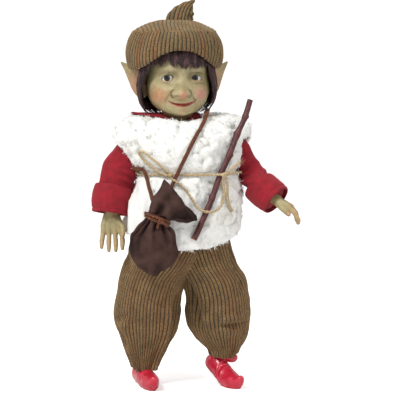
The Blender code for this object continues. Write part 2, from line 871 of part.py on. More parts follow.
def ball(name, centre, radius, mat, segments=16, levels=10):
    rings = []
    for i in range(1, levels):
        tilt = math.pi * i / levels
        rings.append([centre + Vector((radius * math.sin(tilt) * math.sin(2 * math.pi * k / segments),
                                       -radius * math.cos(tilt),
                                       radius * math.sin(tilt) * math.cos(2 * math.pi * k / segments)))
                      for k in range(segments)])
    item = loft(name, rings, mat)
    for vertex in item.data.vertices[-2:]:
        offset = Vector(vertex.co) / MM - centre
        vertex.co = (centre + offset.normalized() * radius) * MM
    return item


def glass_eye(side, name):
    glass = material("glass_eye", (0.75, 0.76, 0.74), 0.05)
    return ball("glass_eye_" + name, eye_centre(side), EYE_RADIUS, glass, 12, 7)


def wig_edge(angle):
    """Height of the wig's lower edge round the head."""
    turn = abs(math.degrees(math.atan2(math.sin(angle), math.cos(angle))))
    lock = lerp(WIG_FRINGE_Z, WIG_LOCK_Z, smooth((turn - 42) / 18))
    return lerp(lock, WIG_NAPE_Z, smooth((turn - 75) / 40))


def wig_rings(lower, front, top, count, levels):
    """Rings over the skull; the three sizes stand off at the sides, fringe and top."""
    starts = []
    for k in range(count):
        angle = 2 * math.pi * k / count
        low, high = 0.0, 1.0
        for _ in range(24):
            middle = (low + high) / 2
            if head_local(angle, middle).z < wig_edge(angle):
                low = middle
            else:
                high = middle
        starts.append(low)
    rings = []
    for i in range(levels):
        t = i / (levels - 1)
        ring = []
        for k in range(count):
            angle = 2 * math.pi * k / count
            u = lerp(starts[k], 1.0, t)
            size = lerp(lower, front, smooth((math.cos(angle) - 0.35) / 0.4))
            ring.append(to_head(head_local(angle, u) + head_normal(angle, u) * lerp(size, top, smooth(t))))
        rings.append(ring)
    return rings


def wig():
    hair = material("dark_hair", (0.035, 0.018, 0.022), 0.6)
    brow = 1.0
    clear = 5 * GAP
    outer = wig_rings(WIG_THICKNESS, WIG_FRINGE_THICKNESS, WIG_TOP_THICKNESS, 24, 7)
    inner = wig_rings(clear, clear + brow, clear, 24, 8)
    item = loft("wig", outer[::-1] + inner, hair)
    for side, name in ((-1, "right"), (1, "left")):
        cut(item, loft("ear_room_" + name, ear_rings(side, GAP + 0.3), hair))
    return item


def brim_low(angle):
    turn = abs(math.degrees(math.atan2(math.sin(angle), math.cos(angle))))
    return BRIM_FRONT_Z - BRIM_DROP * smooth((turn - 4) / 62)


def hat_ring(grow, height, count):
    """A ring round the hat; height is a number or a function of the angle."""
    ring = []
    for k in range(count):
        angle = 2 * math.pi * k / count
        z = height(angle) if callable(height) else height
        across, deep = (HAT_RADIUS + grow) * math.sin(angle), -(HAT_DEPTH + grow) * math.cos(angle)
        dx, dy = turned(across, deep, HEAD_YAW)
        ring.append(Vector((HAT_X + dx, HAT_Y + dy, z)))
    return ring


def hat_brim():
    count = 26

    def part_way(t):
        return lambda angle: lerp(brim_low(angle), BRIM_TOP_Z, t)

    outer = [hat_ring(-2.2, part_way(-0.03), count), hat_ring(-0.5, part_way(0.14), count),
             hat_ring(0.2, part_way(0.42), count), hat_ring(-1.9, part_way(0.74), count),
             hat_ring(-5.2, part_way(0.97), count)]
    inner = [hat_ring(BRIM_SEAT, part_way(0.97), count), hat_ring(-BRIM_THICKNESS, part_way(0.5), count),
             hat_ring(-BRIM_THICKNESS, part_way(0.03), count)]
    item = loft("hat_brim", outer + inner, corduroy(), loop=True)
    for side, name in ((-1, "right"), (1, "left")):
        cut(item, loft("brim_ear_room_" + name, ear_rings(side, GAP), corduroy()))
    return item


def hat_crown():
    """A low dome, seated inside the brim, with a curled tip on top."""
    count = 20
    seat = BRIM_SEAT - GAP - 1.0
    outer = [hat_ring(seat, BRIM_TOP_Z - 6, count), hat_ring(seat, BRIM_TOP_Z - 0.2, count),
             hat_ring(-5.9, BRIM_TOP_Z + GAP, count), hat_ring(-9.4, BRIM_TOP_Z + 2.7, count),
             hat_ring(-13.8, BRIM_TOP_Z + 4.8, count), hat_ring(-19, CROWN_TOP_Z - 1.2, count),
             hat_ring(-24.5, CROWN_TOP_Z - 0.1, count)]
    tip = []
    for z, x, radius in HAT_TIP:
        ring = []
        for k in range(count):
            angle = 2 * math.pi * k / count
            pleat = 1 + 0.05 * math.cos(5 * angle)
            dx, dy = turned(radius * pleat * math.sin(angle), -radius * pleat * 0.85 * math.cos(angle),
                            HEAD_YAW)
            ring.append(Vector((x + dx, HAT_Y + dy, z)))
        tip.append(ring)
    lining = seat - CROWN_CLOTH
    rest = HEAD[-1][0] + WIG_TOP_THICKNESS + GAP
    inner = [hat_ring(lining, BRIM_TOP_Z - 6, count), hat_ring(lining - 1, rest - 3.2, count),
             hat_ring(-20, rest - 0.3, count), hat_ring(-30, rest, count)]
    return loft("hat_crown", tip[::-1] + outer[::-1] + inner, corduroy())


def shirt_collar():
    """A turned-down collar with two pointed wings, open at the throat."""
    count = 21
    span = math.radians(150)
    middle = neck_middle()
    inside = NECK_RADIUS + 2 * GAP + 0.6
    foot = TRUNK[-1][0] + 3 * GAP + SHIRT_CLOTH
    cloth = SHIRT_CLOTH + 0.5
    rings = []
    for k in range(count):
        side = lerp(-1, 1, k / (count - 1))
        angle = math.pi + span * side
        rightward = smooth((0.3 - math.sin(angle)) / 0.6)
        front = smooth((math.cos(angle) + 0.4) / 1.3)
        wing = bump(abs(side), 0.6, 0.2)
        reach = inside + 4.2 + wing * lerp(2, 19.8, rightward)
        top = lerp(216.2, 213.6, front)
        tip = lerp(top, 218.2, wing * rightward)
        profile = [(inside, foot), (inside, top - 0.6), (inside + 1.2, top + 0.4), (reach, tip),
                   (reach, tip - cloth), (inside + 2.2, top - 0.2 - cloth), (inside + cloth, top - 2.4),
                   (inside + cloth, foot)]
        ring = []
        for radius, z in profile:
            dx, dy = turned(radius * math.sin(angle), -radius * math.cos(angle), TRUNK_YAW)
            ring.append(Vector((middle.x + dx, middle.y + dy, z)))
        rings.append(ring)
    item = loft("shirt_collar", rings, red_cloth())
    return cut(item, head_room("collar_head_room"))


def leg_rings(rows, grow, count, steps, gathers, extend=0.0):
    rings = []
    bottom = rows[0][0]
    for i in range(steps):
        z, cx, cy, a, b = spline(rows, i / (steps - 1))
        ring = []
        for k in range(count):
            angle = 2 * math.pi * k / count
            fade = math.exp(-(z - bottom) / 9)
            fold = 0.7 * math.cos(gathers * angle) * fade if gathers else 0.0
            drop = HEM_FRONT_DROP * math.cos(angle) * smooth(1 - (z - bottom) / 14)
            ring.append(Vector((cx + (a + grow + fold) * math.sin(angle),
                                cy - (b + grow + fold) * math.cos(angle), z - drop)))
        rings.append(ring)
    if extend:
        rings.insert(0, [p - Vector((0, 0, extend)) for p in rings[0]])
    return rings


def trouser_hips(grow, over):
    """The seat narrows below to a rounded crotch between the legs."""
    rings = []
    for row in TROUSER_HIPS:
        low = row[0] - grow * (1 - smooth((row[0] - TROUSER_HIPS[0][0]) / 14))
        rings.append(oval((low,) + row[1:], 20, TRUNK_YAW, grow))
    inside = 4 * GAP + SHIRT_CLOTH
    for z in (140, TROUSER_WAIST + over):
        row = [z] + list(row_at(TRUNK, min(z, TROUSER_WAIST))[1:])
        rings.append(oval(row, 20, TRUNK_YAW, inside + TROUSER_CLOTH + grow))
    return rings


def trousers():
    cloth = TROUSER_CLOTH
    outside = [leg_rings(TROUSER_RIGHT, 0, 30, 14, HEM_GATHERS),
               leg_rings(TROUSER_LEFT, 0, 30, 14, HEM_GATHERS),
               trouser_hips(0, 0)]
    inside = [leg_rings(TROUSER_RIGHT, -cloth, 20, 10, 0, 6), leg_rings(TROUSER_LEFT, -cloth, 20, 10, 0, 6),
              trouser_hips(-cloth, 6)]
    item = merged("trousers", outside, corduroy(), 1.0, 1300)
    return cut(item, merged("trousers_inside", inside, corduroy(), 1.6, 560))


def stuffed_leg(name, points):
    path = curve_points([Vector(p) for p in points], 5)
    rings = []
    for i, p in enumerate(path):
        radius = LEG_RADIUS * lerp(1.25, 0.9, i / 4)
        turns = [2 * math.pi * k / 12 for k in range(12)]
        rings.append([p + Vector((radius * math.sin(turn), -radius * math.cos(turn), 0))
                      for turn in turns])
    return loft(name, rings, body_cloth())


def boot(name, place, yaw, pitch, leg_foot, lobe_size):
    """A soft boot with a curled toe, standing on the flat under its ball."""
    half = BOOT_WIDTH / 2
    ahead = Vector((math.sin(math.radians(yaw)), -math.cos(math.radians(yaw)), 0))
    tilt = math.radians(pitch)
    pivot = 10.0

    def foot(s, z):
        run = s - pivot
        level = pivot + run * math.cos(tilt) + z * math.sin(tilt) * 0.4
        high = z * math.cos(tilt) - min(run, 0) * math.sin(tilt)
        return Vector((place[0], place[1], high)) + ahead * level

    top = Vector(leg_foot) - Vector((0, 0, GAP))
    sole = [(foot(-12.5, 6.4), half * 0.75), (foot(-4, 6.2), half * 0.73), (foot(7, 5.6), half * 0.80),
            (foot(16, 5.2), half * 0.72), (foot(22, 4.8), half * 0.5), (foot(26, 7.0), half * 0.34),
            (foot(27.5, 9.6), half * 0.22)]
    shaft = [(foot(-11, 8), half * 0.74), (top - Vector((0, 0, 4)), half * 0.76),
             (top + Vector((0, 0, 4)), half * 0.76)]
    instep = [(foot(-10, 12), half * 0.66), (foot(0, 6.7), half * 0.62), (foot(10, 6.6), half * 0.62)]
    chains = [sole, instep, shaft]
    if lobe_size:
        collar = []
        for k in range(13):
            angle = 2 * math.pi * k / 12
            lobe = lobe_size * bump(math.sin(angle), 0.8, 0.45)
            across = (half * 0.72 + lobe) * math.sin(angle)
            along = -half * 0.72 * math.cos(angle)
            collar.append((top + Vector((across, along, -7 - 0.6 * lobe)), 1.8))
        chains.append(collar)
    item = blob(name, chains, red_resin(), 1.1, 420, 0.9)
    wide = 1.6 * BOOT_WIDTH
    lid = [[top + Vector((wide * math.sin(math.pi * k / 4), wide * math.cos(math.pi * k / 4), z))
            for k in range(8)] for z in (0, 20)]
    return cut(item, loft(name + "_top_cut", lid, red_resin()))


def hand(name, wrist, down, palm_out, thumb_side, curls):
    """A resin hand. down runs from wrist to fingertips, palm_out to the side that the
    fingers bend to, and thumb_side to the thumb."""
    down = down.normalized()
    across = (thumb_side - down * thumb_side.dot(down)).normalized()
    front = down.cross(across)
    if front.dot(palm_out) < 0:
        front = -front
    r = FINGER_RADIUS
    palm = PALM_LENGTH
    half = PALM_WIDTH / 2

    def place(d, a, f):
        return wrist + down * d + across * a + front * f

    chains = [[(place(-WRIST_STUMP, 0, 0), 4.4), (place(2, 0, 0), 4.2)]]
    for i, (curl, reach) in enumerate(zip(curls, (0.80, 0.97, 1.0, 0.94))):
        a = lerp(-1, 1, i / 3) * (half - r)
        long = FINGER_LENGTH / 2 * reach
        knuckle = place(palm * 0.94, a, 0.2)
        middle = place(palm * 0.94 + long * math.cos(curl), a * 1.16, long * math.sin(curl))
        tip = middle + (down * math.cos(2 * curl) + front * math.sin(2 * curl)) * (long * 0.92)
        heel, middle_palm = place(0, a * 0.5, 0), place(palm * 0.5, a * 0.85, 0.3)
        chains.append([(heel, 3.2), (middle_palm, 2.9), (knuckle, r * 1.1)])
        chains.append([(knuckle, r * 1.05), (middle, r * 0.92), (tip, r * 0.72)])
    base = place(3, half - 5, 1.2)
    joint = place(10, half + 0.2, 3.2)
    tip = place(16.5, half + 0.6, 5.2)
    chains.append([(base, 3.2), (joint, 2.3), (tip, 1.8)])
    return blob(name, chains, resin(), 0.75, 400)


def twig_path():
    """The twig lies on the fleece where the twine holds it and is straight in depth."""
    held_x = 15.4
    held_y = vest_depth(held_x, BELT_Z) - 0.3 * TWIG_RADIUS
    low_x, low_z = TWIG[0]
    low = vest_depth(low_x, low_z) - TWIG_RADIUS - 0.5
    slope = (held_y - low) / (BELT_Z - low_z)
    return [Vector((x, low + slope * (z - low_z), z)) for x, z in TWIG]


def twig_at(z):
    path = twig_path()
    for a, b in zip(path, path[1:]):
        if a.z <= z <= b.z:
            return a.lerp(b, (z - a.z) / (b.z - a.z))
    return path[-1]


def twig_rings(grow):
    count = 19
    path = curve_points(twig_path(), count)
    rings = []
    for i, ring in enumerate(tube_rings(path, [1.0] * count, 7)):
        t = i / (count - 1)
        size = TWIG_RADIUS * lerp(1.0, 0.94, t)
        for knot in (0.30, 0.60, 0.75, 0.88):
            size += 0.4 * bump(t, knot, 0.03)
        middle = path[i]
        end = (path[-1] - path[-2]).normalized() * grow if i == count - 1 else Vector()
        rings.append([middle + end + (p - middle) * (size + grow) for p in ring])
    return rings


def twig():
    bark = material("bark", (0.12, 0.025, 0.02), 0.6)
    return loft("twig", twig_rings(0.0), bark)


def on_vest(angle, z, out):
    """A point round the vest's oval, turned from the front, out from its surface."""
    _, cx, cy, a, b = row_at(VEST, z)
    turn = math.radians(angle)
    dx, dy = turned((a + out) * math.sin(turn), -(b + out) * math.cos(turn), TRUNK_YAW)
    return Vector((cx + dx, cy + dy, z))


def on_fleece(x, z, out):
    """A point in front of the vest."""
    return Vector((x, vest_depth(x, z) - FLEECE_ROOM - out, z))


def belt_path():
    """Round the waist, pressed inward beside the arms and over the twig in front."""
    count = 36
    crossing = twig_at(BELT_Z)
    points = []
    for k in range(count):
        point = on_vest(360 * k / count, BELT_Z, TWINE_RADIUS - BELT_SINK)
        point = clear_of_arms(point, GAP + TWINE_RADIUS)
        if point.y < 0:
            near = bump(point.x, crossing.x, 6.5)
            over = crossing.y - TWIG_RADIUS - TWINE_RADIUS - 2 * GAP - 0.9
            point.y = lerp(point.y, min(point.y, over), near)
        points.append(point)
    return points


def knot_centre(place):
    x, z = place
    crossing = twig_at(BELT_Z)
    beside = smooth(abs(x - crossing.x) / 8)
    y = lerp(crossing.y - TWIG_RADIUS - KNOT_RADIUS - 2 * GAP, vest_depth(x, z) - 1.0, beside)
    return Vector((x, y, z))


def belt_twine():
    r = TWINE_RADIUS
    item = ring_band("belt_twine", belt_path(), r, r, from_trunk, twine(), count=6)
    for place, name in ((BOW_KNOT, "bow_knot"), (TWIG_KNOT, "twig_knot")):
        join(item, ball(name, knot_centre(place), KNOT_RADIUS, twine(), 8, 6))
    join(item, tube("bow_loop", bow_loop_path(), [TWINE_RADIUS] * 18, 6, twine()))
    for end in twine_ends():
        join(item, end)
    return item


def bow_loop_path():
    """A flattened bight that lies on the fleece, up and to the figure's right."""
    rows = ((-23.4, 172.2, 1.0), (-27.0, 175.4, 2.0), (-32.0, 179.6, 1.8), (-38.5, 184.8, 1.6),
            (-44.5, 189.0, 1.6), (-47.2, 187.8, 1.6), (-45.0, 184.0, 1.6), (-38.5, 178.0, 1.8),
            (-32.5, 173.9, 2.8), (-27.5, 171.4, 3.0), (-23.4, 169.8, 1.0))
    return curve_points([on_fleece(x, z, out) for x, z, out in rows], 18)


def drooping_loop_path():
    """From the bow knot down in front of the fleece, over the twig, up to its knot."""
    rows = ((-22.6, 168.4, 3.2), (-19.9, 167.4, 5.2), (-16.2, 164.8, 4.3), (-11.4, 160.0, 2.2),
            (-6.6, 153.0, 2.0),
            (-3.2, 147.6, 2.6), (0.8, 144.6, 4.6), (4.8, 143.3, 6.0), (8.8, 142.9, 5.0),
            (12.6, 143.8, 3.0), (15.8, 146.4, 2.0), (17.4, 151.0, 1.9), (18.0, 156.5, 1.9),
            (17.6, 162.0, 2.2), (17.2, 166.8, 3.4))
    return [on_fleece(x, z, out) for x, z, out in rows]


def drooping_loop():
    """A free length of twine: a poly curve with a round bevel and closed ends."""
    points = curve_points(drooping_loop_path(), 26)
    data = bpy.data.curves.new("twine_drooping_loop", "CURVE")
    data.dimensions = "3D"
    data.bevel_depth = TWINE_RADIUS * MM
    data.bevel_resolution = 2
    data.use_fill_caps = True
    line = data.splines.new("POLY")
    line.points.add(len(points) - 1)
    for spot, point in zip(line.points, points):
        spot.co = (*(point * MM), 1.0)
    item = bpy.data.objects.new("twine_drooping_loop", data)
    item.data.materials.append(twine())
    bpy.context.collection.objects.link(item)
    return item


def twine_ends():
    """The hanging end and the short one, both out of the knot at the twig."""
    knot = knot_centre(TWIG_KNOT)
    rows = ((20.4, 164.6, 5.0), (20.6, 158.0, 3.6), (20.9, 151.5, 2.8), (22.0, 146.4, 2.4),
            (24.0, 142.2, 2.2))
    path = curve_points([knot] + [on_fleece(x, z, out) for x, z, out in rows], 9)
    sizes = [TWINE_RADIUS * lerp(1.0, 1.35, i / 8) for i in range(9)]
    long_end = tube("long_end", path, sizes, 6, twine())
    away = Vector((11.6, 1.4, 9.6))
    path = curve_points([knot, knot + away * 0.5 + Vector((0, -0.8, 0)), knot + away], 5)
    short_end = tube("short_end", path, [TWINE_RADIUS * t for t in (1.0, 1.0, 1.1, 1.2, 1.2)], 6, twine())
    return long_end, short_end


def strap_path():
    """From the pouch over the figure's left shoulder, across the back and under the
    right arm to the pouch again. Front points are x, z and how far out they lie;
    the others are angle round the vest, z and out."""
    down = ((0.6, 207.4, 2.0), (-3.4, 201.0, 1.7), (-8.6, 191.0, 1.6),
            (-14.8, 178.0, 1.5), (-18.2, 171.0, 2.5), (-21.6, 163.6, 1.4), (-25.6, 155.0, 1.4),
            (-28.6, 148.6, 2.6), (-30.2, 144.1, 3.3))
    up = ((-34.6, 144.4, 3.6), (-36.4, 151.0, 2.4), (-39.8, 162.0, 1.4), (-41.2, 167.0, 1.5),
          (-42.4, 171.0, 2.5), (-44.2, 174.0, 2.0))
    path = [on_fleece(*row) for row in up]
    for k in range(13):
        t = k / 12
        rise = 0.9 * smooth((t - 0.35) / 0.65) + 0.1 * t
        point = on_vest(lerp(-66, -203, t), lerp(174.7, 206.0, rise), 3.2)
        path.append(clear_of_arms(point, GAP + 0.8 * STRAP_THICKNESS))
    for x, z, off, rise in ((4.0, 212.0, 3.2, 2.6), (5.0, 214.9, 1.2, 3.4)):
        path.append(Vector((x, vest_depth(x, z, True) + off, z + rise)))
    path.append(Vector((5.8, 3.5, 219.0)))
    for x, z, off, rise in ((5.0, 214.9, 0.8, 3.0), (3.6, 212.0, 2.2, 1.8)):
        path.append(Vector((x, vest_depth(x, z) - off, z + rise)))
    path += [on_fleece(*row) for row in down]
    return path


def strap_outward(point):
    """Outward from the vest at its sides and over the shoulder."""
    over = smooth((point.z - 194) / 8)
    radial = Vector((0, point.y - 1, point.z - 199)).normalized()
    return from_trunk(point).lerp(radial, over).normalized()


def strap_band(name, grow):
    path = curve_points(strap_path(), 64)
    return ring_band(name, path, STRAP_WIDTH / 2 * 1.15 + grow, STRAP_THICKNESS / 2 * 1.2 + grow,
                     strap_outward, leather(), closed=False, count=4)


def pouch_ring(x, z, half_width, half_depth, tilt, folds=0.0, count=16):
    """A ring across the pouch, tilted from level towards +X."""
    turn = math.radians(tilt)
    side = Vector((math.cos(turn), 0, -math.sin(turn)))
    ring = []
    for k in range(count):
        angle = 2 * math.pi * k / count
        fold = folds * math.cos(5 * angle + 0.6)
        ring.append(Vector((x, POUCH_Y, z)) + side * ((half_width + 0.4 * fold) * math.cos(angle))
                    + Vector((0, (half_depth + fold) * math.sin(angle), 0)))
    return ring


def pouch():
    cloth = material("pouch_suede", (0.05, 0.03, 0.028), 0.9)
    rings = [pouch_ring(x, z, a, b, 0, 0.5) for x, z, a, b in POUCH_BAG]
    nx, nz = POUCH_NECK
    rings.append(pouch_ring(nx - 1.0, nz - 2.9, POUCH_NECK_WIDTH + 0.4, POUCH_NECK_DEPTH + 0.2,
                            POUCH_NECK_TILT, 0.2))
    rings.append(pouch_ring(nx + 0.9, nz + 2.5, POUCH_NECK_WIDTH + 0.2, POUCH_NECK_DEPTH + 0.1,
                            POUCH_NECK_TILT, 0.2))
    turn = math.radians(POUCH_FLARE_TILT)
    length = POUCH_FLARE_LENGTH
    reach = POUCH_FLARE_WIDTH
    deep = POUCH_FLARE_DEPTH

    def flare(t, a, b, folds):
        tilt = lerp(POUCH_NECK_TILT, POUCH_FLARE_TILT, smooth((t - 0.15) * 2))
        x, z = nx + length * t * math.sin(turn), nz + length * t * math.cos(turn)
        return pouch_ring(x, z, a, b, tilt, folds)

    neck = POUCH_NECK_WIDTH
    rings += [flare(0.22, neck + 1.6, deep * 0.92, 0.4),
              flare(0.42, lerp(neck, reach, 0.42), deep * 0.92, 0.8),
              flare(0.7, lerp(neck, reach, 0.75), deep * 0.96, 1.2), flare(1.0, reach, deep, 1.6),
              flare(0.98, reach - POUCH_CLOTH, deep - POUCH_CLOTH, 1.2),
              flare(0.72, lerp(neck, reach, 0.62), deep * 0.45, 0.5), flare(0.6, neck, deep * 0.2, 0.2)]
    return loft("pouch", rings, cloth)


def pouch_lace_tie():
    """The tie round the pouch's neck."""
    nx, nz = POUCH_NECK
    stand = LACE_THICKNESS * 0.65 + 2 * GAP
    path = pouch_ring(nx, nz, POUCH_NECK_WIDTH + stand, POUCH_NECK_DEPTH + stand,
                      POUCH_NECK_TILT)
    middle = Vector((nx, POUCH_Y, nz))
    return ring_band("pouch_lace_tie", path, LACE_WIDTH / 2 * 1.15, LACE_THICKNESS / 2 * 1.3,
                     lambda point: point - middle, leather(), count=5)


def trunk_room(name):
    """The space that the dressed trunk needs in the sleeves, arms and vest."""
    grow = 2 * GAP + SHIRT_CLOTH
    rings = [oval(row_at(TRUNK, z), 16, TRUNK_YAW, grow, grow * smooth((z - 195) / 10))
             for z in TRUNK_LEVELS]
    return loft(name, rings, red_cloth())


def settle():
    """Moves the figure so that the middle of its plan is the origin."""
    graph = bpy.context.evaluated_depsgraph_get()
    low = Vector((1e9, 1e9, 1e9))
    high = -low
    for item in bpy.context.scene.objects:
        if item.hide_render or item.name == "twine_drooping_loop":
            continue
        for corner in item.evaluated_get(graph).bound_box:
            low = Vector(map(min, low, corner))
            high = Vector(map(max, high, corner))
    stand = bpy.data.objects.new("figure_stand", None)
    bpy.context.collection.objects.link(stand)
    for item in list(bpy.context.scene.objects):
        if item is not stand:
            item.parent = stand
    stand.location = (-(low.x + high.x) / 2, -(low.y + high.y) / 2, 0.0)


def main():
    clear_scene()
    stuffed_torso()
    shirt_body()
    vest()
    head()
    for side, name in ((-1, "right"), (1, "left")):
        glass_eye(side, name)
    wig()
    hat_brim()
    hat_crown()
    shirt_collar()
    trousers()
    for name, points, radii in (("right", ARM_RIGHT, SLEEVE_RIGHT), ("left", ARM_LEFT, SLEEVE_LEFT)):
        points = [Vector(p) for p in points]
        stuffed_arm("stuffed_arm_" + name, points)
        sleeve("sleeve_" + name, points, radii)
        sleeve_cuff("sleeve_cuff_" + name, points, radii)
    stuffed_leg("stuffed_leg_right", LEG_RIGHT)
    stuffed_leg("stuffed_leg_left", LEG_LEFT)
    boot("boot_right", BOOT_RIGHT, BOOT_RIGHT_YAW, BOOT_RIGHT_PITCH, LEG_RIGHT[-1], 0)
    boot("boot_left", BOOT_LEFT, BOOT_LEFT_YAW, BOOT_LEFT_PITCH, LEG_LEFT[-1], 3.4)
    hand("hand_right", Vector(ARM_RIGHT[-1]) + Vector((0.4, -1.5, -4)), Vector((0.05, -0.25, -1)),
         Vector((0.3, -1, 0)), Vector((1, -0.2, 0)), (0.16, 0.10, 0.10, 0.14))
    hand("hand_left", Vector(ARM_LEFT[-1]) + Vector((0.5, -0.7, 0)), Vector((0.84, -0.22, -0.42)),
         Vector((-0.3, -0.4, -0.8)), Vector((-0.2, -0.9, 0.1)), (0.5, 0.45, 0.4, 0.3))
    twig()
    belt_twine()
    drooping_loop()
    pouch()
    pouch_lace_tie()
    strap_band("pouch_strap", 0.0)
    settle()


main()
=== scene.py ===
# Dressed elf doll: painted resin head, hands and boots on a stuffed cloth body,
# in a red shirt, tweed corduroy trousers and hat, a sheepskin vest, a twig and a pouch.
# Lengths are in millimetres in the doll's own frame, and put() turns them to metres.
import bpy
import bmesh
import math

import numpy as np
from mathutils import Matrix, Vector, noise


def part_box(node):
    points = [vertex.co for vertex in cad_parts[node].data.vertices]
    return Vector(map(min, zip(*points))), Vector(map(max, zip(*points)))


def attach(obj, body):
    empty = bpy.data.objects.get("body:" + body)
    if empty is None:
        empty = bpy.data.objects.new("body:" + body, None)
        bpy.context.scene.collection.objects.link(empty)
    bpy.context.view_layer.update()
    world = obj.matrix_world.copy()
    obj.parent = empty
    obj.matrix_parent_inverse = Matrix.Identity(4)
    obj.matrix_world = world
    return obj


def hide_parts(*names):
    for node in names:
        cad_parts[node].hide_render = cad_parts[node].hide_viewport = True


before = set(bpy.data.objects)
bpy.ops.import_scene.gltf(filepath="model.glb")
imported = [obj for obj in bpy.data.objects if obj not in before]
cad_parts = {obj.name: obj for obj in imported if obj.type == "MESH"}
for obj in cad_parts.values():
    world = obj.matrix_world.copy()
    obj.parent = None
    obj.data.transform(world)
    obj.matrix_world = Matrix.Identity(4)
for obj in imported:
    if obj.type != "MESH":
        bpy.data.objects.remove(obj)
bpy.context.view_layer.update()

mm = 0.001
headSpot = {"x": -18.0, "y": 0.0, "yaw": 10.0, "neckBack": 2.0, "neckRadius": 10.5}
eyeSpot = {"spacing": 22.4, "z": 244.6, "radius": 5.6, "depth": 17.8}
trunkYaw = 13.0
random = np.random.RandomState(7)


# Small helpers, shared by all the pieces

def turned(x, y, yaw):
    c, s = math.cos(math.radians(yaw)), math.sin(math.radians(yaw))
    return x * c - y * s, x * s + y * c


def toHead(points):
    points = np.asarray(points, float)
    x, y = turned(points[..., 0], points[..., 1], headSpot["yaw"])
    return np.stack([headSpot["x"] + x, headSpot["y"] + y, points[..., 2]], -1)


eyeLow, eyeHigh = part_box("glass_eye_right")
eyeModel = toHead([-eyeSpot["spacing"] / 2, -eyeSpot["depth"], eyeSpot["z"]])
shift = np.array((eyeLow + eyeHigh) / 2) / mm - eyeModel   # from the doll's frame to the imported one
shift[2] = 0.0


def put(points):
    return (np.asarray(points, float) + shift) * mm


def lerp(a, b, t):
    return a + (b - a) * t


def smooth(t):
    t = np.clip(t, 0.0, 1.0)
    return t * t * (3 - 2 * t)


def bump(x, centre, width):
    return np.exp(-((np.asarray(x, float) - centre) / width) ** 2)


def curve(rows, t):
    rows = np.asarray(rows, float)
    if rows.ndim == 1:
        rows = rows[:, None]
    t = np.atleast_1d(np.asarray(t, float))
    last = len(rows) - 1
    place = np.clip(t, 0, 1) * last
    i = np.minimum(place.astype(int), last - 1)
    f = (place - i)[:, None]
    before, start = rows[np.maximum(i - 1, 0)], rows[i]
    end, after = rows[i + 1], rows[np.minimum(i + 2, last)]
    m1, m2 = (end - before) / 2, (after - start) / 2
    return ((2 * f ** 3 - 3 * f ** 2 + 1) * start + (f ** 3 - 2 * f ** 2 + f) * m1
            + (3 * f ** 2 - 2 * f ** 3) * end + (f ** 3 - f ** 2) * m2)


def rowAt(rows, z):
    table = curve(rows, np.linspace(0, 1, 400))
    z = np.clip(z, table[0, 0], table[-1, 0])
    return np.stack([np.interp(z, table[:, 0], table[:, k]) for k in range(table.shape[1])], -1)


def evenly(points, count):
    dense = curve(points, np.linspace(0, 1, 600))
    run = np.concatenate([[0], np.cumsum(np.linalg.norm(np.diff(dense, axis=0), axis=1))])
    want = np.linspace(0, run[-1], count)
    return np.stack([np.interp(want, run, dense[:, k]) for k in range(dense.shape[1])], -1)


def lumps(points, size, seed=0):
    # smooth random field from -1 to 1, size is the spacing of its lumps
    p = np.asarray(points, float) / size + seed * 17.37 + 1000
    cell = np.floor(p).astype(np.int64)
    f = p - cell
    f = f * f * (3 - 2 * f)
    total = 0
    for dx in (0, 1):
        for dy in (0, 1):
            for dz in (0, 1):
                h = ((cell[..., 0] + dx) * 73856093 ^ (cell[..., 1] + dy) * 19349663 ^ (cell[..., 2] + dz)
                     * 83492791)
                h = (h ^ (h >> 13)) * 1274126177 & 0x7fffffff
                h = (h ^ (h >> 11)) * 668265263 & 0x7fffffff
                weight = ((f[..., 0] if dx else 1 - f[..., 0]) * (f[..., 1] if dy else 1 - f[..., 1])
                          * (f[..., 2] if dz else 1 - f[..., 2]))
                total = total + weight * (h / 0x3fffffff - 1)
    return total


def gridNormals(grid):
    # grid is rings x count x 3 and closed round each ring
    across = np.roll(grid, -1, 1) - np.roll(grid, 1, 1)
    along = np.gradient(grid, axis=0)
    normal = np.cross(across, along)
    return normal / (np.linalg.norm(normal, axis=-1, keepdims=True) + 1e-9)


def gridFaces(rings, count, loop=False, first=0):
    faces = []
    for i in range(rings if loop else rings - 1):
        a, b = first + i * count, first + (i + 1) % rings * count
        for k in range(count):
            n = (k + 1) % count
            faces.append((a + k, a + n, b + n, b + k))
    return faces


def makeMesh(name, points, faces, finish, replaces=(), data=None):
    mesh = bpy.data.meshes.new(name)
    mesh.from_pydata(put(points).tolist(), [], faces)
    work = bmesh.new()
    work.from_mesh(mesh)
    bmesh.ops.recalc_face_normals(work, faces=work.faces)
    work.to_mesh(mesh)
    work.free()
    mesh.shade_smooth()
    for key, values in (data or {}).items():
        values = np.asarray(values, np.float32)
        kind = "FLOAT" if values.ndim == 1 else "FLOAT_COLOR"
        layer = mesh.attributes.new(key, kind, "POINT")
        if values.ndim == 2:
            values = np.concatenate([values, np.ones((len(values), 1), np.float32)], 1)
        layer.data.foreach_set("value" if kind == "FLOAT" else "color", values.ravel())
    item = bpy.data.objects.new(name, mesh)
    for entry in finish if isinstance(finish, (list, tuple)) else [finish]:
        mesh.materials.append(entry)
    bpy.context.collection.objects.link(item)
    return settle(item, replaces)


def settle(item, replaces=()):
    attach(item, "root")
    if replaces:
        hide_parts(*([replaces] if isinstance(replaces, str) else replaces))
    return item


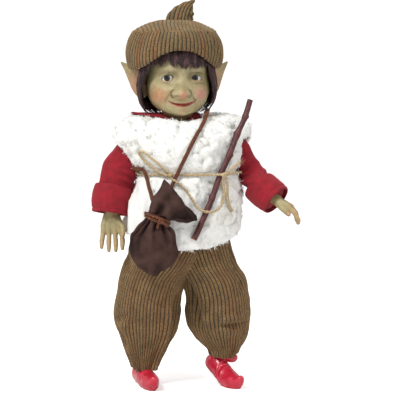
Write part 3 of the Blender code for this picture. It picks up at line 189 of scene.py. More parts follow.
def loft(name, grid, finish, replaces=(), loop=False, data=None):
    # skin over rings, closed by a fan at both ends or back on itself
    grid = np.asarray(grid, float)
    rings, count = grid.shape[:2]
    points = grid.reshape(-1, 3)
    faces = gridFaces(rings, count, loop)
    data = {key: np.asarray(values, float).reshape(rings * count, -1).squeeze() for key,
            values in (data or {}).items()}
    if not loop:
        for start in (0, (rings - 1) * count):
            points = np.concatenate([points, points[start:start + count].mean(0)[None]])
            centre = len(points) - 1
            faces += [(centre, start + k, start + (k + 1) % count) for k in range(count)]
            for key, values in data.items():
                data[key] = np.concatenate([values, values[start:start + count].mean(0)[None]])
    return makeMesh(name, points, faces, finish, replaces, data)


def tubeGrid(path, radii, count):
    path = np.asarray(path, float)
    radii = np.broadcast_to(np.asarray(radii, float), (len(path),))
    ahead = np.gradient(path, axis=0)
    ahead /= np.linalg.norm(ahead, axis=1, keepdims=True) + 1e-12
    carried = np.array([0.0, 1, 0])
    if abs(ahead[0] @ carried) > 0.85:
        carried = np.array([1.0, 0, 0])
    angle = np.linspace(0, 2 * math.pi, count, endpoint=False)
    rings = []
    for i in range(len(path)):
        side = carried - ahead[i] * (carried @ ahead[i])
        side /= np.linalg.norm(side)
        carried = side
        other = np.cross(ahead[i], side)
        rings.append(path[i] + radii[i] * (np.cos(angle)[:, None] * side + np.sin(angle)[:, None] * other))
    return np.array(rings)


def joined(grids):
    # one set of points and faces from several closed tubes
    points, faces, first = [], [], 0
    for grid in grids:
        rings, count = grid.shape[:2]
        flat = grid.reshape(-1, 3)
        points.append(flat)
        faces += gridFaces(rings, count, first=first)
        for cap, start in enumerate((0, (rings - 1) * count)):
            points.append(flat[start:start + count].mean(0)[None])
            centre = first + rings * count + cap
            faces += [(centre, first + start + k, first + start + (k + 1) % count) for k in range(count)]
        first += rings * count + 2
    return np.concatenate(points), faces


# Finishes

def linear(hexColour):
    values = [int(hexColour[i:i + 2], 16) / 255 for i in (1, 3, 5)]
    return tuple(v / 12.92 if v <= 0.04045 else ((v + 0.055) / 1.055) ** 2.4 for v in values) + (1.0,)


def perMm(spacing):
    return 1.0 / (spacing * mm)        # noise scale for features that far apart


def fill(tree, made, inputs):
    # each input gets its value, or a link where the value is another node's output
    for key, value in inputs.items():
        if isinstance(value, bpy.types.NodeSocket):
            tree.links.new(value, made.inputs[key])
        else:
            made.inputs[key].default_value = value


def node(tree, kind, out, inputs=None, stops=(), **settings):
    # adds one node with its settings and links, and gives back its output called out
    made = tree.nodes.new("ShaderNode" + kind)
    for key, value in settings.items():
        setattr(made, key, value)
    fill(tree, made, inputs or {})
    if stops:
        strip = made.color_ramp.elements
        while len(strip) < len(stops):
            strip.new(0.5)
        for entry, (place, colour) in zip(strip, stops):
            entry.position = place
            entry.color = linear(colour) if isinstance(colour, str) else (colour, colour, colour, 1)
    return made.outputs[out]


def blank(name):
    mat = bpy.data.materials.new(name)
    mat.use_nodes = True
    return mat, mat.node_tree, mat.node_tree.nodes["Principled BSDF"]


def paintedResin():
    # cast resin, brushed with thin matt acrylic: a soft sheen and faint brush mottling
    mat, tree, shader = blank("brushed_acrylic_on_resin")
    spot = node(tree, "TexCoord", "Object")
    paint = node(tree, "Attribute", "Color", attribute_name="paint")
    mottle = node(tree, "TexNoise", "Fac", {"Vector": spot, "Scale": perMm(3.2), "Detail": 3.0})
    mottle = node(tree, "ValToRGB", "Color", {"Fac": mottle}, ((0.32, "#c9c2ae"), (0.72, "#ffffff")))
    paint = node(tree, "MixRGB", "Color", {"Fac": 0.55, "Color1": paint, "Color2": mottle},
                 blend_type="MULTIPLY")
    sheen = node(tree, "TexNoise", "Fac", {"Vector": spot, "Scale": perMm(1.1), "Detail": 2.0})
    sheen = node(tree, "ValToRGB", "Color", {"Fac": sheen}, ((0.3, 0.44), (0.8, 0.6)))
    brush = node(tree, "TexNoise", "Fac", {"Vector": spot, "Scale": perMm(0.7), "Detail": 2.0})
    brush = node(tree, "Bump", "Normal", {"Height": brush, "Distance": 0.05 * mm, "Strength": 0.5})
    fill(tree, shader, {"Base Color": paint, "Roughness": sheen, "IOR": 1.5, "Normal": brush,
                        "Subsurface Weight": 0.06, "Subsurface Radius": (1.0, 0.5, 0.25),
                        "Subsurface Scale": 1.2 * mm})
    return mat


def tweedCorduroy(name, crest, second, rust, grooveShade):
    # 8 wale corduroy in a tweed yarn: soft cut pile on each rib, and the ground cloth in the grooves,
    #                                  darkened with painted shade
    mat, tree, shader = blank(name)
    spot = node(tree, "TexCoord", "Object")
    rib = node(tree, "Attribute", "Fac", attribute_name="rib")
    streak = node(tree, "Attribute", "Fac", attribute_name="yarn")
    wash = node(tree, "TexNoise", "Fac", {"Vector": spot, "Scale": perMm(9), "Detail": 2.0})
    wash = node(tree, "ValToRGB", "Color", {"Fac": wash}, ((0.36, crest), (0.66, second)))
    streak = node(tree, "ValToRGB", "Color", {"Fac": streak}, ((0.5, 0.0), (1.0, 0.5)))
    yarn = node(tree, "MixRGB", "Color", {"Fac": streak, "Color1": wash, "Color2": linear(rust)})
    rusty = node(tree, "TexNoise", "Fac", {"Vector": spot, "Scale": perMm(1.3), "Detail": 2.0,
                                           "Roughness": 0.7})
    rusty = node(tree, "ValToRGB", "Color", {"Fac": rusty}, ((0.56, 0.0), (0.66, 0.65)))
    yarn = node(tree, "MixRGB", "Color", {"Fac": rusty, "Color1": yarn, "Color2": linear(rust)})
    fleck = node(tree, "TexNoise", "Fac", {"Vector": spot, "Scale": perMm(0.8), "Detail": 3.0,
                                           "Roughness": 0.75})
    fleck = node(tree, "ValToRGB", "Color", {"Fac": fleck},
                 ((0.33, "#4a4230"), (0.5, "#d6cebd"), (0.66, "#fffbf2")))
    pile = node(tree, "MixRGB", "Color", {"Fac": 0.95, "Color1": yarn, "Color2": fleck},
                blend_type="MULTIPLY")
    # painted shade: the colour runs from the pile on each crest to the dark groove colour in each groove
    crown = node(tree, "ValToRGB", "Color", {"Fac": rib}, ((0.06, 0.0), (0.5, 1.0)))
    colour = node(tree, "MixRGB", "Color", {"Fac": crown, "Color1": linear(grooveShade), "Color2": pile})
    nap = node(tree, "TexNoise", "Fac", {"Vector": spot, "Scale": perMm(0.55), "Detail": 2.0})
    nap = node(tree, "Bump", "Normal", {"Height": nap, "Distance": 0.35 * mm, "Strength": 0.8})
    fill(tree, shader, {"Base Color": colour, "Roughness": 0.95, "Normal": nap, "Sheen Weight": 0.25,
                        "Sheen Roughness": 0.5, "Sheen Tint": linear("#c9b48c")})
    return mat


def sheepskinPile():
    # curled wool on the skin: off-white crests, and painted grey-green shade in the hollows between the curls
    mat, tree, shader = blank("curly_sheepskin_pile")
    spot = node(tree, "TexCoord", "Object")
    curl = node(tree, "Attribute", "Fac", attribute_name="curl")
    wool = node(tree, "ValToRGB", "Color", {"Fac": curl},
                ((0.0, "#c2c2b8"), (0.3, "#dededa"), (0.62, "#f2f2ef")))
    stain = node(tree, "TexNoise", "Fac", {"Vector": spot, "Scale": perMm(14), "Detail": 2.0})
    stain = node(tree, "ValToRGB", "Color", {"Fac": stain}, ((0.4, "#ffffff"), (0.75, "#f5f3ec")))
    wool = node(tree, "MixRGB", "Color", {"Fac": 1.0, "Color1": wool, "Color2": stain}, blend_type="MULTIPLY")
    strands = node(tree, "TexNoise", "Fac", {"Vector": spot, "Scale": perMm(1.1), "Detail": 3.0,
                                             "Roughness": 0.6})
    strands = node(tree, "Bump", "Normal", {"Height": strands, "Distance": 0.5 * mm, "Strength": 0.8})
    fill(tree, shader, {"Base Color": wool, "Roughness": 1.0, "Normal": strands, "Sheen Weight": 0.3,
                        "Subsurface Weight": 0.1, "Subsurface Radius": (1, 1, 0.9),
                        "Subsurface Scale": 2 * mm})
    return mat


def brushedFlannel():
    # red brushed cotton: matt, with a fine weave of 0.45 mm threads, drawn as coarse as shows
    mat, tree, shader = blank("red_brushed_flannel")
    spot = node(tree, "TexCoord", "Object")
    threads = []
    for turn in (0.0, math.pi / 2):
        spun = node(tree, "Mapping", "Vector", {"Vector": spot, "Rotation": (0.5, turn, 0.3)})
        threads.append(node(tree, "TexWave", "Fac",
                            {"Vector": spun, "Scale": perMm(0.9) / 20, "Distortion": 3.0,
                                                     "Detail": 1.0, "Detail Scale": 2.0}))
    weave = node(tree, "MixRGB", "Color", {"Fac": 0.5, "Color1": threads[0], "Color2": threads[1]})
    cloth = node(tree, "TexNoise", "Fac", {"Vector": spot, "Scale": perMm(6), "Detail": 3.0})
    cloth = node(tree, "ValToRGB", "Color", {"Fac": cloth}, ((0.35, "#820d1c"), (0.7, "#9a1124")))
    shade = node(tree, "ValToRGB", "Color", {"Fac": weave}, ((0.2, "#9a8f8f"), (0.8, "#ffffff")))
    cloth = node(tree, "MixRGB", "Color", {"Fac": 0.14, "Color1": cloth, "Color2": shade},
                 blend_type="MULTIPLY")
    relief = node(tree, "Bump", "Normal", {"Height": weave, "Distance": 0.05 * mm, "Strength": 0.3})
    fill(tree, shader, {"Base Color": cloth, "Roughness": 0.92, "Normal": relief, "Sheen Weight": 0.08,
                        "Sheen Tint": linear("#ff9a9a")})
    return mat


def suedeLace():
    # split leather lace: rust brown nap with light worn specks
    mat, tree, shader = blank("rust_suede_lace")
    spot = node(tree, "TexCoord", "Object")
    nap = node(tree, "TexNoise", "Fac", {"Vector": spot, "Scale": perMm(1.6), "Detail": 3.0})
    nap = node(tree, "ValToRGB", "Color", {"Fac": nap}, ((0.35, "#47210f"), (0.65, "#63331b")))
    specks = node(tree, "TexNoise", "Fac", {"Vector": spot, "Scale": perMm(0.5), "Detail": 2.0,
                                            "Roughness": 0.7})
    specks = node(tree, "ValToRGB", "Color", {"Fac": specks}, ((0.6, 0.0), (0.7, 0.75)))
    nap = node(tree, "MixRGB", "Color", {"Fac": specks, "Color1": nap, "Color2": linear("#c08a5c")})
    fibre = node(tree, "TexNoise", "Fac", {"Vector": spot, "Scale": perMm(0.45), "Detail": 2.0})
    fibre = node(tree, "Bump", "Normal", {"Height": fibre, "Distance": 0.15 * mm, "Strength": 0.9})
    fill(tree, shader, {"Base Color": nap, "Roughness": 0.9, "Normal": fibre})
    return mat


def pouchSuede():
    # soft chocolate suede: dull, with painted highlight on the raised folds and painted shade in the hollows
    # between them
    mat, tree, shader = blank("chocolate_suede")
    spot = node(tree, "TexCoord", "Object")
    creaseShading = node(tree, "Attribute", "Fac", attribute_name="creaseShading")
    nap = node(tree, "TexNoise", "Fac", {"Vector": spot, "Scale": perMm(5), "Detail": 4.0})
    nap = node(tree, "ValToRGB", "Color", {"Fac": nap}, ((0.35, "#33211d"), (0.68, "#452f29")))
    # paler on the raised folds, a painted highlight, and darker in the sunken ones, painted shade
    for stops, tone in ((((0.45, 0.0), (1.0, 0.45)), "#57403a"), (((0.0, 0.75), (0.4, 0.0)), "#1c1110")):
        amount = node(tree, "ValToRGB", "Color", {"Fac": creaseShading}, stops)
        nap = node(tree, "MixRGB", "Color", {"Fac": amount, "Color1": nap, "Color2": linear(tone)})
    fibre = node(tree, "TexNoise", "Fac", {"Vector": spot, "Scale": perMm(0.7), "Detail": 3.0})
    fibre = node(tree, "Bump", "Normal", {"Height": fibre, "Distance": 0.12 * mm, "Strength": 0.8})
    fill(tree, shader, {"Base Color": nap, "Roughness": 0.88, "Normal": fibre, "Specular IOR Level": 0.2})
    return mat


def hairFibre():
    # acrylic fur: dark purplish brown, each lock a little lighter or darker
    mat, tree, shader = blank("dark_fur_fibre")
    tone = node(tree, "Attribute", "Fac", attribute_name="tone")
    tone = node(tree, "ValToRGB", "Color", {"Fac": tone},
                ((0.0, "#170e0e"), (0.55, "#3a2526"), (1.0, "#6e4a49")))
    fill(tree, shader, {"Base Color": tone, "Roughness": 0.5})
    return mat


def barkSkin():
    # smooth young bark, dark red with fine lengthwise grain and pale specks
    mat, tree, shader = blank("dark_red_bark")
    spot = node(tree, "TexCoord", "Object")
    stretched = node(tree, "Mapping", "Vector", {"Vector": spot, "Scale": (1, 1, 0.18)})
    line = node(tree, "TexNoise", "Fac", {"Vector": stretched, "Scale": perMm(1.1), "Detail": 3.0})
    bark = node(tree, "ValToRGB", "Color", {"Fac": line},
                ((0.3, "#240b0c"), (0.52, "#4a1a1b"), (0.75, "#682c28")))
    specks = node(tree, "TexNoise", "Fac", {"Vector": spot, "Scale": perMm(1.3), "Detail": 1.0})
    specks = node(tree, "ValToRGB", "Color", {"Fac": specks}, ((0.7, 0.0), (0.76, 0.5)))
    bark = node(tree, "MixRGB", "Color", {"Fac": specks, "Color1": bark, "Color2": linear("#a77c68")})
    relief = node(tree, "Bump", "Normal", {"Height": line, "Distance": 0.2 * mm, "Strength": 0.8})
    fill(tree, shader, {"Base Color": bark, "Roughness": 0.5, "IOR": 1.45, "Normal": relief})
    return mat


def glassEye():
    # blown glass eye: wet white, grey iris with dark rim, black pupil
    mat, tree, shader = blank("glass_doll_eye")
    spot = node(tree, "TexCoord", "Object")
    out = node(tree, "Attribute", "Fac", attribute_name="iris")
    disc = node(tree, "ValToRGB", "Color", {"Fac": out}, (
        (0.0, "#040404"), (0.34, "#060606"), (0.39, "#3b3e37"), (0.5, "#2d2e28"), (0.56, "#141516"),
        (0.62, "#e4e2dc"), (1.0, "#d8d4ca")))
    streaks = node(tree, "TexNoise", "Fac", {"Vector": spot, "Scale": perMm(0.5), "Detail": 3.0})
    streaks = node(tree, "ValToRGB", "Color", {"Fac": streaks}, ((0.3, "#b5b5b5"), (0.7, "#ffffff")))
    disc = node(tree, "MixRGB", "Color", {"Fac": 0.25, "Color1": disc, "Color2": streaks},
                blend_type="MULTIPLY")
    fill(tree, shader, {"Base Color": disc, "Roughness": 0.05, "IOR": 1.5, "Specular IOR Level": 0.15,
                        "Coat Weight": 0.4, "Coat Roughness": 0.02})
    return mat


# Finishes of one mottled colour and one fine relief: spacings in mm, then detail, then what is special
mottledFinishes = {
    # the skin side of the sheepskin: suede, pinkish brown
    "skinSide": {"name": "sheepskin_suede_side",
                 "colour": (5, 3.0, 0.5, ((0.35, "#c3aa93"), (0.7, "#ddcbb6"))),
                 "relief": (0.8, 3.0, 0.1, 0.6), "more": {"Roughness": 0.9}},
    # stuffed calico: plain weave, almost wholly under the clothes
    "calico": {"name": "undyed_calico", "colour": (2.5, 3.0, 0.5, ((0.35, "#cdb594"), (0.7, "#dcc8aa"))),
               "relief": (0.6, 2.0, 0.1, 0.6), "more": {"Roughness": 0.95}},
    # boots in gloss enamel: wet highlights along the creases
    "enamel": {"name": "gloss_red_enamel", "colour": (7, 2.0, 0.5, ((0.35, "#bd1c34"), (0.7, "#cf2d45"))),
               "relief": (3.4, 1.0, 0.05, 0.4),
               "more": {"Roughness": 0.26, "IOR": 1.45, "Coat Weight": 0.2, "Coat Roughness": 0.12}},
    # two-ply jute: straw fibres, paler where they stand up
    "jute": {"name": "two_ply_jute",
             "colour": (0.9, 3.0, 0.65, ((0.3, "#8b7250"), (0.5, "#b9a27c"), (0.72, "#dccbaa"))),
             "relief": (0.35, 2.0, 0.1, 0.8), "more": {"Roughness": 0.95}},
    # the sawn end of the twig: pale sapwood
    "sapwood": {"name": "pale_cut_sapwood", "colour": (0.8, 2.0, 0.5, ((0.35, "#c08a58"), (0.7, "#e8c396"))),
                "relief": None, "more": {"Roughness": 0.8}},
}


def mottled(name, colour, relief, more):
    mat, tree, shader = blank(name)
    spot = node(tree, "TexCoord", "Object")
    spacing, detail, roughness, stops = colour
    tone = node(tree, "TexNoise", "Fac", {"Vector": spot, "Scale": perMm(spacing), "Detail": detail,
                                          "Roughness": roughness})
    fill(tree, shader, {"Base Color": node(tree, "ValToRGB", "Color", {"Fac": tone}, stops), **more})
    if relief:
        spacing, detail, depth, strength = relief
        height = node(tree, "TexNoise", "Fac", {"Vector": spot, "Scale": perMm(spacing), "Detail": detail})
        fill(tree, shader, {"Normal": node(tree, "Bump", "Normal", {"Height": height, "Distance": depth * mm,
                                                                   "Strength": strength})})
    return mat


finishes = {
    "resin": paintedResin(),
    # the last colour of each corduroy is the painted shade of its grooves
    "trousers": tweedCorduroy("tan_tweed_corduroy", "#9b8059", "#80694a", "#8e5632", "#1c1c14"),
    "hat": tweedCorduroy("rust_tweed_corduroy", "#957f5c", "#7c6d4e", "#a0603b", "#1a1b13"),
    "pile": sheepskinPile(),
    "flannel": brushedFlannel(),
    "lace": suedeLace(),
    "suede": pouchSuede(),
    "hair": hairFibre(),
    "bark": barkSkin(),
    "eye": glassEye(),
}
for key, kind in mottledFinishes.items():
    finishes[key] = mottled(**kind)
print("finishes made")


# Camera, room and light. The camera stands 1.3 m away and 6 degrees above level.

cameraSpot = {"distance": 1300.0, "elevation": 6.0, "x": -0.4, "z": 148.2, "widthShown": 315.0}


def makeCamera():
    lens = bpy.data.cameras.new("camera")
    lens.sensor_width = 36
    lens.lens = 36 * cameraSpot["distance"] / cameraSpot["widthShown"]
    lens.clip_start, lens.clip_end = 0.1, 20
    item = bpy.data.objects.new("camera", lens)
    bpy.context.collection.objects.link(item)
    tilt = math.radians(cameraSpot["elevation"])
    away = np.array([0, -math.cos(tilt), math.sin(tilt)]) * cameraSpot["distance"]
    item.location = put(np.array([cameraSpot["x"], 0, cameraSpot["z"]]) + away)
    item.rotation_euler = (math.pi / 2 - tilt, 0, 0)
    bpy.context.scene.camera = item
    bpy.context.scene.view_settings.view_transform = "Standard"


def makeRoom():
    # white paper that reads as pure white, and keeps the soft shadow of the doll
    mat, tree, shader = blank("white_paper_floor")
    # only the camera sees this lift, so the doll's light stays as it is
    seen = node(tree, "LightPath", "Is Camera Ray")
    lift = node(tree, "Math", "Value", {0: seen, 1: 0.46}, operation="MULTIPLY")
    fill(tree, shader, {"Base Color": linear("#f6f6f5"), "Roughness": 1.0, "Specular IOR Level": 0.0,
                        "Emission Color": (1, 1, 1, 1), "Emission Strength": lift})
    mesh = bpy.data.meshes.new("floor")
    reach, back, rise, steps = 3.0, 1.6, 3.0, 14
    rows = [(-2.5, 0.0)]
    for k in range(steps + 1):
        turn = math.pi / 2 * k / steps
        rows.append((back + 0.8 * math.sin(turn), 0.8 - 0.8 * math.cos(turn)))
    rows.append((back + 0.8, rise))
    points = [(x, y, z) for y, z in rows for x in (-reach, reach)]
    faces = [(2 * i, 2 * i + 1, 2 * i + 3, 2 * i + 2) for i in range(len(rows) - 1)]
    mesh.from_pydata(points, [], faces)
    mesh.materials.append(mat)
    mesh.shade_smooth()
    item = bpy.data.objects.new("floor", mesh)
    bpy.context.collection.objects.link(item)


def makeLights():
    world = bpy.data.worlds.new("studio")
    bpy.context.scene.world = world
    world.use_nodes = True
    tree = world.node_tree
    # the camera, reflections and glass see plain white, and the room is lit by a little less
    shown = node(tree, "LightPath", "Is Camera Ray")
    for ray in ("Is Glossy Ray", "Is Transmission Ray"):
        shown = node(tree, "Math", "Value", {0: shown, 1: node(tree, "LightPath", ray)}, operation="MAXIMUM")
    strength = node(tree, "Math", "Value", {0: shown, 1: 0.7, 2: 0.3}, operation="MULTIPLY_ADD")
    fill(tree, tree.nodes["Background"], {"Strength": strength, "Color": (1, 1, 1, 1)})
    for name, spot, power, size in (("key", (-0.8, -1.0, 1.35), 23, 0.5), ("fill", (1.2, -1.1, 0.8), 7, 1.2),
                                    ("top", (0.1, 0.3, 1.6), 12, 1.4)):
        lamp = bpy.data.lights.new(name, "AREA")
        lamp.energy, lamp.size = power, size
        item = bpy.data.objects.new(name, lamp)
        item.location = spot
        item.rotation_euler = (Vector((0, 0, 0.15)) - Vector(spot)).to_track_quat("-Z", "Y").to_euler()
        bpy.context.collection.objects.link(item)


makeCamera()
makeRoom()
makeLights()
print("camera, room and light made")


# Jute twine: two plies twisted on each other, with stray fibres

twine = {"radius": 1.05, "plyRadius": 0.6, "twistLength": 5.5, "sides": 7, "fibreEvery": 1.1,
         "fibreRadius": 0.09, "droop": 0.3,
         "beltHeight": 171.0}
vestRows = [(113, -16, 0, 47, 36.5), (121, -16, 0, 48, 37.5), (140, -14, 0, 46.5, 38), (158, -11, 0, 45, 37),
            (171, -9, 0, 43, 34), (184, -11, 0, 48, 37), (196, -14, 0, 53, 35.5), (206, -14, 0, 54.5, 29),
            (212, -14.5, 0.3, 49, 25), (215.2, -15.5, 0.5, 35, 22.5), (214.2, -18, 1.5, 20.5, 19)]
trunkRows = [(96, -15.5, 1, 25, 18), (103, -15.5, 1, 32, 23.5), (114, -15, 1, 34, 25),
             (140, -12.5, 1, 33, 24.5),
             (160, -10.5, 1, 31, 23.5), (171, -9.5, 1, 29.5, 23), (188, -12, 1, 33.5, 22.5),
             (199, -14, 1, 34, 18.5),
             (205, -15, 1, 27, 14), (207, -16, 1, 16, 12)]


def vestDepth(x, z, back=False):
    _, cx, cy, a, b = rowAt(vestRows, z)
    dx = x - cx
    c, s = math.cos(math.radians(trunkYaw)), math.sin(math.radians(trunkYaw))
    qa = s * s / a ** 2 + c * c / b ** 2
    qb = 2 * dx * s * c * (1 / a ** 2 - 1 / b ** 2)
    qc = dx * dx * (c * c / a ** 2 + s * s / b ** 2) - 1
    root = math.sqrt(max(qb * qb - 4 * qa * qc, 0.0))
    return cy + ((-qb + root) if back else (-qb - root)) / (2 * qa)


def onFleece(x, z, out):
    return np.array([x, vestDepth(x, z) - 0.5 - out, z])


def onVest(angle, z, out):
    _, cx, cy, a, b = rowAt(vestRows, z)
    turn = math.radians(angle)
    dx, dy = turned((a + out) * math.sin(turn), -(b + out) * math.cos(turn), trunkYaw)
    return np.array([cx + dx, cy + dy, z])


def fromTrunk(point):
    _, cx, cy, a, b = rowAt(vestRows, point[2])
    dx, dy = turned(point[0] - cx, point[1] - cy, -trunkYaw)
    nx, ny = turned(dx / a ** 2, dy / b ** 2, trunkYaw)
    out = np.array([nx, ny, 0])
    return out / np.linalg.norm(out)


twigRows = [(-5.2, 121.8), (-1.1, 130), (3.4, 140.1), (7.4, 149.1), (11.2, 159.3), (14.6, 168.8),
            (18.6, 177.4),
            (21.8, 184.2), (25.2, 193.2), (29.2, 203.1), (34.4, 214.2), (38.6, 227.5)]
twigShape = {"radius": 2.3, "knots": (0.30, 0.60, 0.75, 0.88), "sides": 28, "rings": 260}


def twigPath():
    heldY = vestDepth(15.4, twine["beltHeight"]) - 0.3 * twigShape["radius"]
    lowX, lowZ = twigRows[0]
    low = vestDepth(lowX, lowZ) - twigShape["radius"] - 0.5
    slope = (heldY - low) / (twine["beltHeight"] - lowZ)
    return np.array([(x, low + slope * (z - lowZ), z) for x, z in twigRows])


twigLine = twigPath()


def twigAt(z):
    return np.stack([np.interp(z, twigLine[:, 2], twigLine[:, k]) for k in range(3)], -1)


arms = {
    "right": {"path": [(-44, 3, 197), (-56, 1, 185), (-64.5, -3, 167), (-68.5, -7, 152), (-70, -9, 141)],
              "sleeve": [9.0, 11.5, 13.0, 13.4, 12.8]},
    "left": {"path": [(18, 0, 197), (29, 1, 187), (38.5, 1, 172), (46.5, -5, 160), (57.5, -12, 150.5)],
             "sleeve": [8.5, 9.0, 9.3, 10.8, 10.8]},
}


def clearOfArms(point, room):
    out = np.array(point, float)
    _, cx, cy, _, _ = rowAt(trunkRows, out[2])
    inward = np.array([cx - out[0], cy - out[1], 0])
    inward /= np.linalg.norm(inward)
    for arm in arms.values():
        line = evenly(arm["path"], 40)
        sizes = curve(arm["sleeve"], np.linspace(0, 1, 40))[:, 0]
        for _ in range(60):
            away = np.linalg.norm(line - out, axis=1)
            near = int(away.argmin())
            if away[near] >= sizes[near] + 0.5 + room:
                break
            out += inward * 0.3
    return out


def pliedTube(path, radius, extra=1.0):
    # two plies wound round the path; extra swells them towards a frayed end
    length = np.linalg.norm(np.diff(path, axis=0), axis=1).sum()
    count = max(int(length / 0.45), 8)
    line = evenly(path, count)
    run = np.linspace(0, length, count)
    swell = lerp(1.0, extra, np.linspace(0, 1, count))
    base = tubeGrid(line, np.ones(count), 4)
    sides = (base[:, 0] - line), (base[:, 1] - line)
    grids = []
    for ply in (0, 1):
        turn = 2 * math.pi * run / twine["twistLength"] + ply * math.pi
        off = np.cos(turn)[:, None] * sides[0] + np.sin(turn)[:, None] * sides[1]
        width = radius * twine["plyRadius"] * swell
        grids.append(tubeGrid(line + off * (radius - radius * twine["plyRadius"]) * swell[:, None], width,
                              twine["sides"]))
    return grids, line


def fibres(line, reach, every):
    length = np.linalg.norm(np.diff(line, axis=0), axis=1).sum()
    grids = []
    for _ in range(int(length / every)):
        at = line[random.randint(len(line))]
        way = random.normal(size=3)
        way /= np.linalg.norm(way)
        bend = random.normal(size=3) * 0.5
        long = reach * (0.4 + random.rand())
        steps = np.linspace(0, 1, 5)[:, None]
        path = (at + way * long * steps + bend * long * steps ** 2
                - np.array([0, 0, twine["droop"]]) * long * steps ** 2)
        grids.append(tubeGrid(path, twine["fibreRadius"] * np.linspace(1, 0.4, 5), 3))
    return grids


def beltPath():
    crossing = twigAt(twine["beltHeight"])
    points = []
    for k in range(36):
        point = onVest(10 * k, twine["beltHeight"], twine["radius"] - 0.6)
        point = clearOfArms(point, 0.4 + twine["radius"])
        if point[1] < 0:
            near = bump(point[0], crossing[0], 6.5)
            over = crossing[1] - twigShape["radius"] - twine["radius"] - 1.7
            point[1] = lerp(point[1], min(point[1], over), near)
        points.append(point)
    return np.array(points + points[:1])


def knotCentre(x, z):
    crossing = twigAt(twine["beltHeight"])
    beside = smooth(abs(x - crossing[0]) / 8)
    y = lerp(crossing[1] - twigShape["radius"] - 3.1, vestDepth(x, z) - 1.0, beside)
    return np.array([x, y, z])


def makeTwine():
    r = twine["radius"]
    grids = []
    lines = [beltPath()]
    bow = [(-23.4, 172.2, 1.0), (-27.0, 175.4, 2.0), (-32.0, 179.6, 1.8), (-38.5, 184.8, 1.6),
           (-44.5, 189.0, 1.6),
           (-47.2, 187.8, 1.6), (-45.0, 184.0, 1.6), (-38.5, 178.0, 1.8), (-32.5, 173.9, 2.8),
           (-27.5, 171.4, 3.0),
           (-23.4, 169.8, 1.0)]
    lines.append(evenly([onFleece(*row) for row in bow], 40))
    knot = knotCentre(18.2, 170.6)
    ends = [(20.4, 164.6, 5.0), (20.6, 158.0, 3.6), (20.9, 151.5, 2.8), (22.0, 146.4, 2.4),
            (24.0, 142.2, 2.2)]
    longEnd = evenly([knot] + [onFleece(*row) for row in ends], 40)
    away = np.array([11.6, 1.4, 9.6])
    shortEnd = evenly([knot, knot + away * 0.5 + [0, -0.8, 0], knot + away], 20)
    for line in lines:
        grids += pliedTube(line, r)[0]
    for line, extra in ((longEnd, 1.35), (shortEnd, 1.2)):
        grids += pliedTube(line, r, extra)[0]
        tip = line[-1]
        along = line[-1] - line[-4]
        along /= np.linalg.norm(along)
        for _ in range(26):                       # the ends fray into single fibres
            way = along + random.normal(size=3) * 0.42
            steps = np.linspace(0, 1, 6)[:, None]
            path = (tip - along * 1.5 + way * 4.2 * (0.5 + random.rand()) * steps
                    + random.normal(size=3) * 0.8 * steps ** 2)
            grids.append(tubeGrid(path, 0.13 * np.linspace(1, 0.4, 6), 3))
    for centre in (knotCentre(-23.0, 171.0), knot):   # each knot is three turns that cross
        for tilt in range(3):
            turn = np.linspace(0, 2 * math.pi, 26)
            a = tilt * 1.05
            ring = np.stack([np.cos(turn) * 1.5, np.sin(turn) * math.cos(a) * 1.4,
                             np.sin(turn) * math.sin(a) * 1.4], -1)
            grids.append(tubeGrid(centre + ring, 0.85, 7))
    for line in lines + [longEnd, shortEnd]:
        grids += fibres(line, 1.5, twine["fibreEvery"])
    points, faces = joined(grids)
    makeMesh("belt_and_bow_twine", points, faces, finishes["jute"], "belt_twine")


def makeDroopingLoop():
    rows = ((-22.6, 168.4, 3.2), (-19.9, 167.4, 5.2), (-16.2, 164.8, 4.3), (-11.4, 160.0, 2.2),
            (-6.6, 153.0, 2.0),
            (-3.2, 147.6, 2.6), (0.8, 144.6, 4.6), (4.8, 143.3, 6.0), (8.8, 142.9, 5.0), (12.6, 143.8, 3.0),
            (15.8, 146.4, 2.0), (17.4, 151.0, 1.9), (18.0, 156.5, 1.9), (17.6, 162.0, 2.2),
            (17.2, 166.8, 3.4))
    line = evenly([onFleece(*row) for row in rows], 60)
    grids, centreLine = pliedTube(line, twine["radius"])
    points, faces = joined(grids)
    loop = makeMesh("drooping_twine", points, faces, finishes["jute"], "twine_drooping_loop")
    points, faces = joined(fibres(line, 1.3, twine["fibreEvery"]))
    fuzz = makeMesh("drooping_twine_fuzz", points, faces, finishes["jute"])


makeTwine()
makeDroopingLoop()
print("twine made")


def makeTwig():
    count = twigShape["rings"]
    line = evenly(twigLine, count)
    t = np.linspace(0, 1, count)
    size = twigShape["radius"] * lerp(1.0, 0.94, t)
    for knot in twigShape["knots"]:
        size = size + 0.42 * bump(t, knot, 0.02)
    grid = tubeGrid(line, size, twigShape["sides"])
    out = grid - line[:, None]
    out /= np.linalg.norm(out, axis=-1, keepdims=True)
    rough = 0.16 * lumps(grid * [1, 1, 0.35], 1.5, 3) + 0.3 * lumps(grid * [1, 1, 0.6], 5, 4)
    for i, knot in enumerate(twigShape["knots"]):     # a bud scar on one side of each knot
        side = math.pi * (0.25 + 1.1 * i)
        around = np.cos(np.linspace(0, 2 * math.pi, twigShape["sides"], endpoint=False) - side)
        rough += 0.7 * bump(t, knot + 0.008, 0.009)[:, None] * np.clip(around, 0, 1) ** 3
    item = loft("twig_stick", grid + out * (rough * 0.8)[..., None], [finishes["bark"], finishes["sapwood"]],
                "twig")
    ends = twigShape["sides"] * 2
    total = len(item.data.polygons)
    for face in item.data.polygons:                   # the end caps are the last faces made
        if face.index >= total - ends:
            face.material_index = 1


makeTwig()
print("twig made")


# Head: a cast resin shell with painted features, round two glass eyes

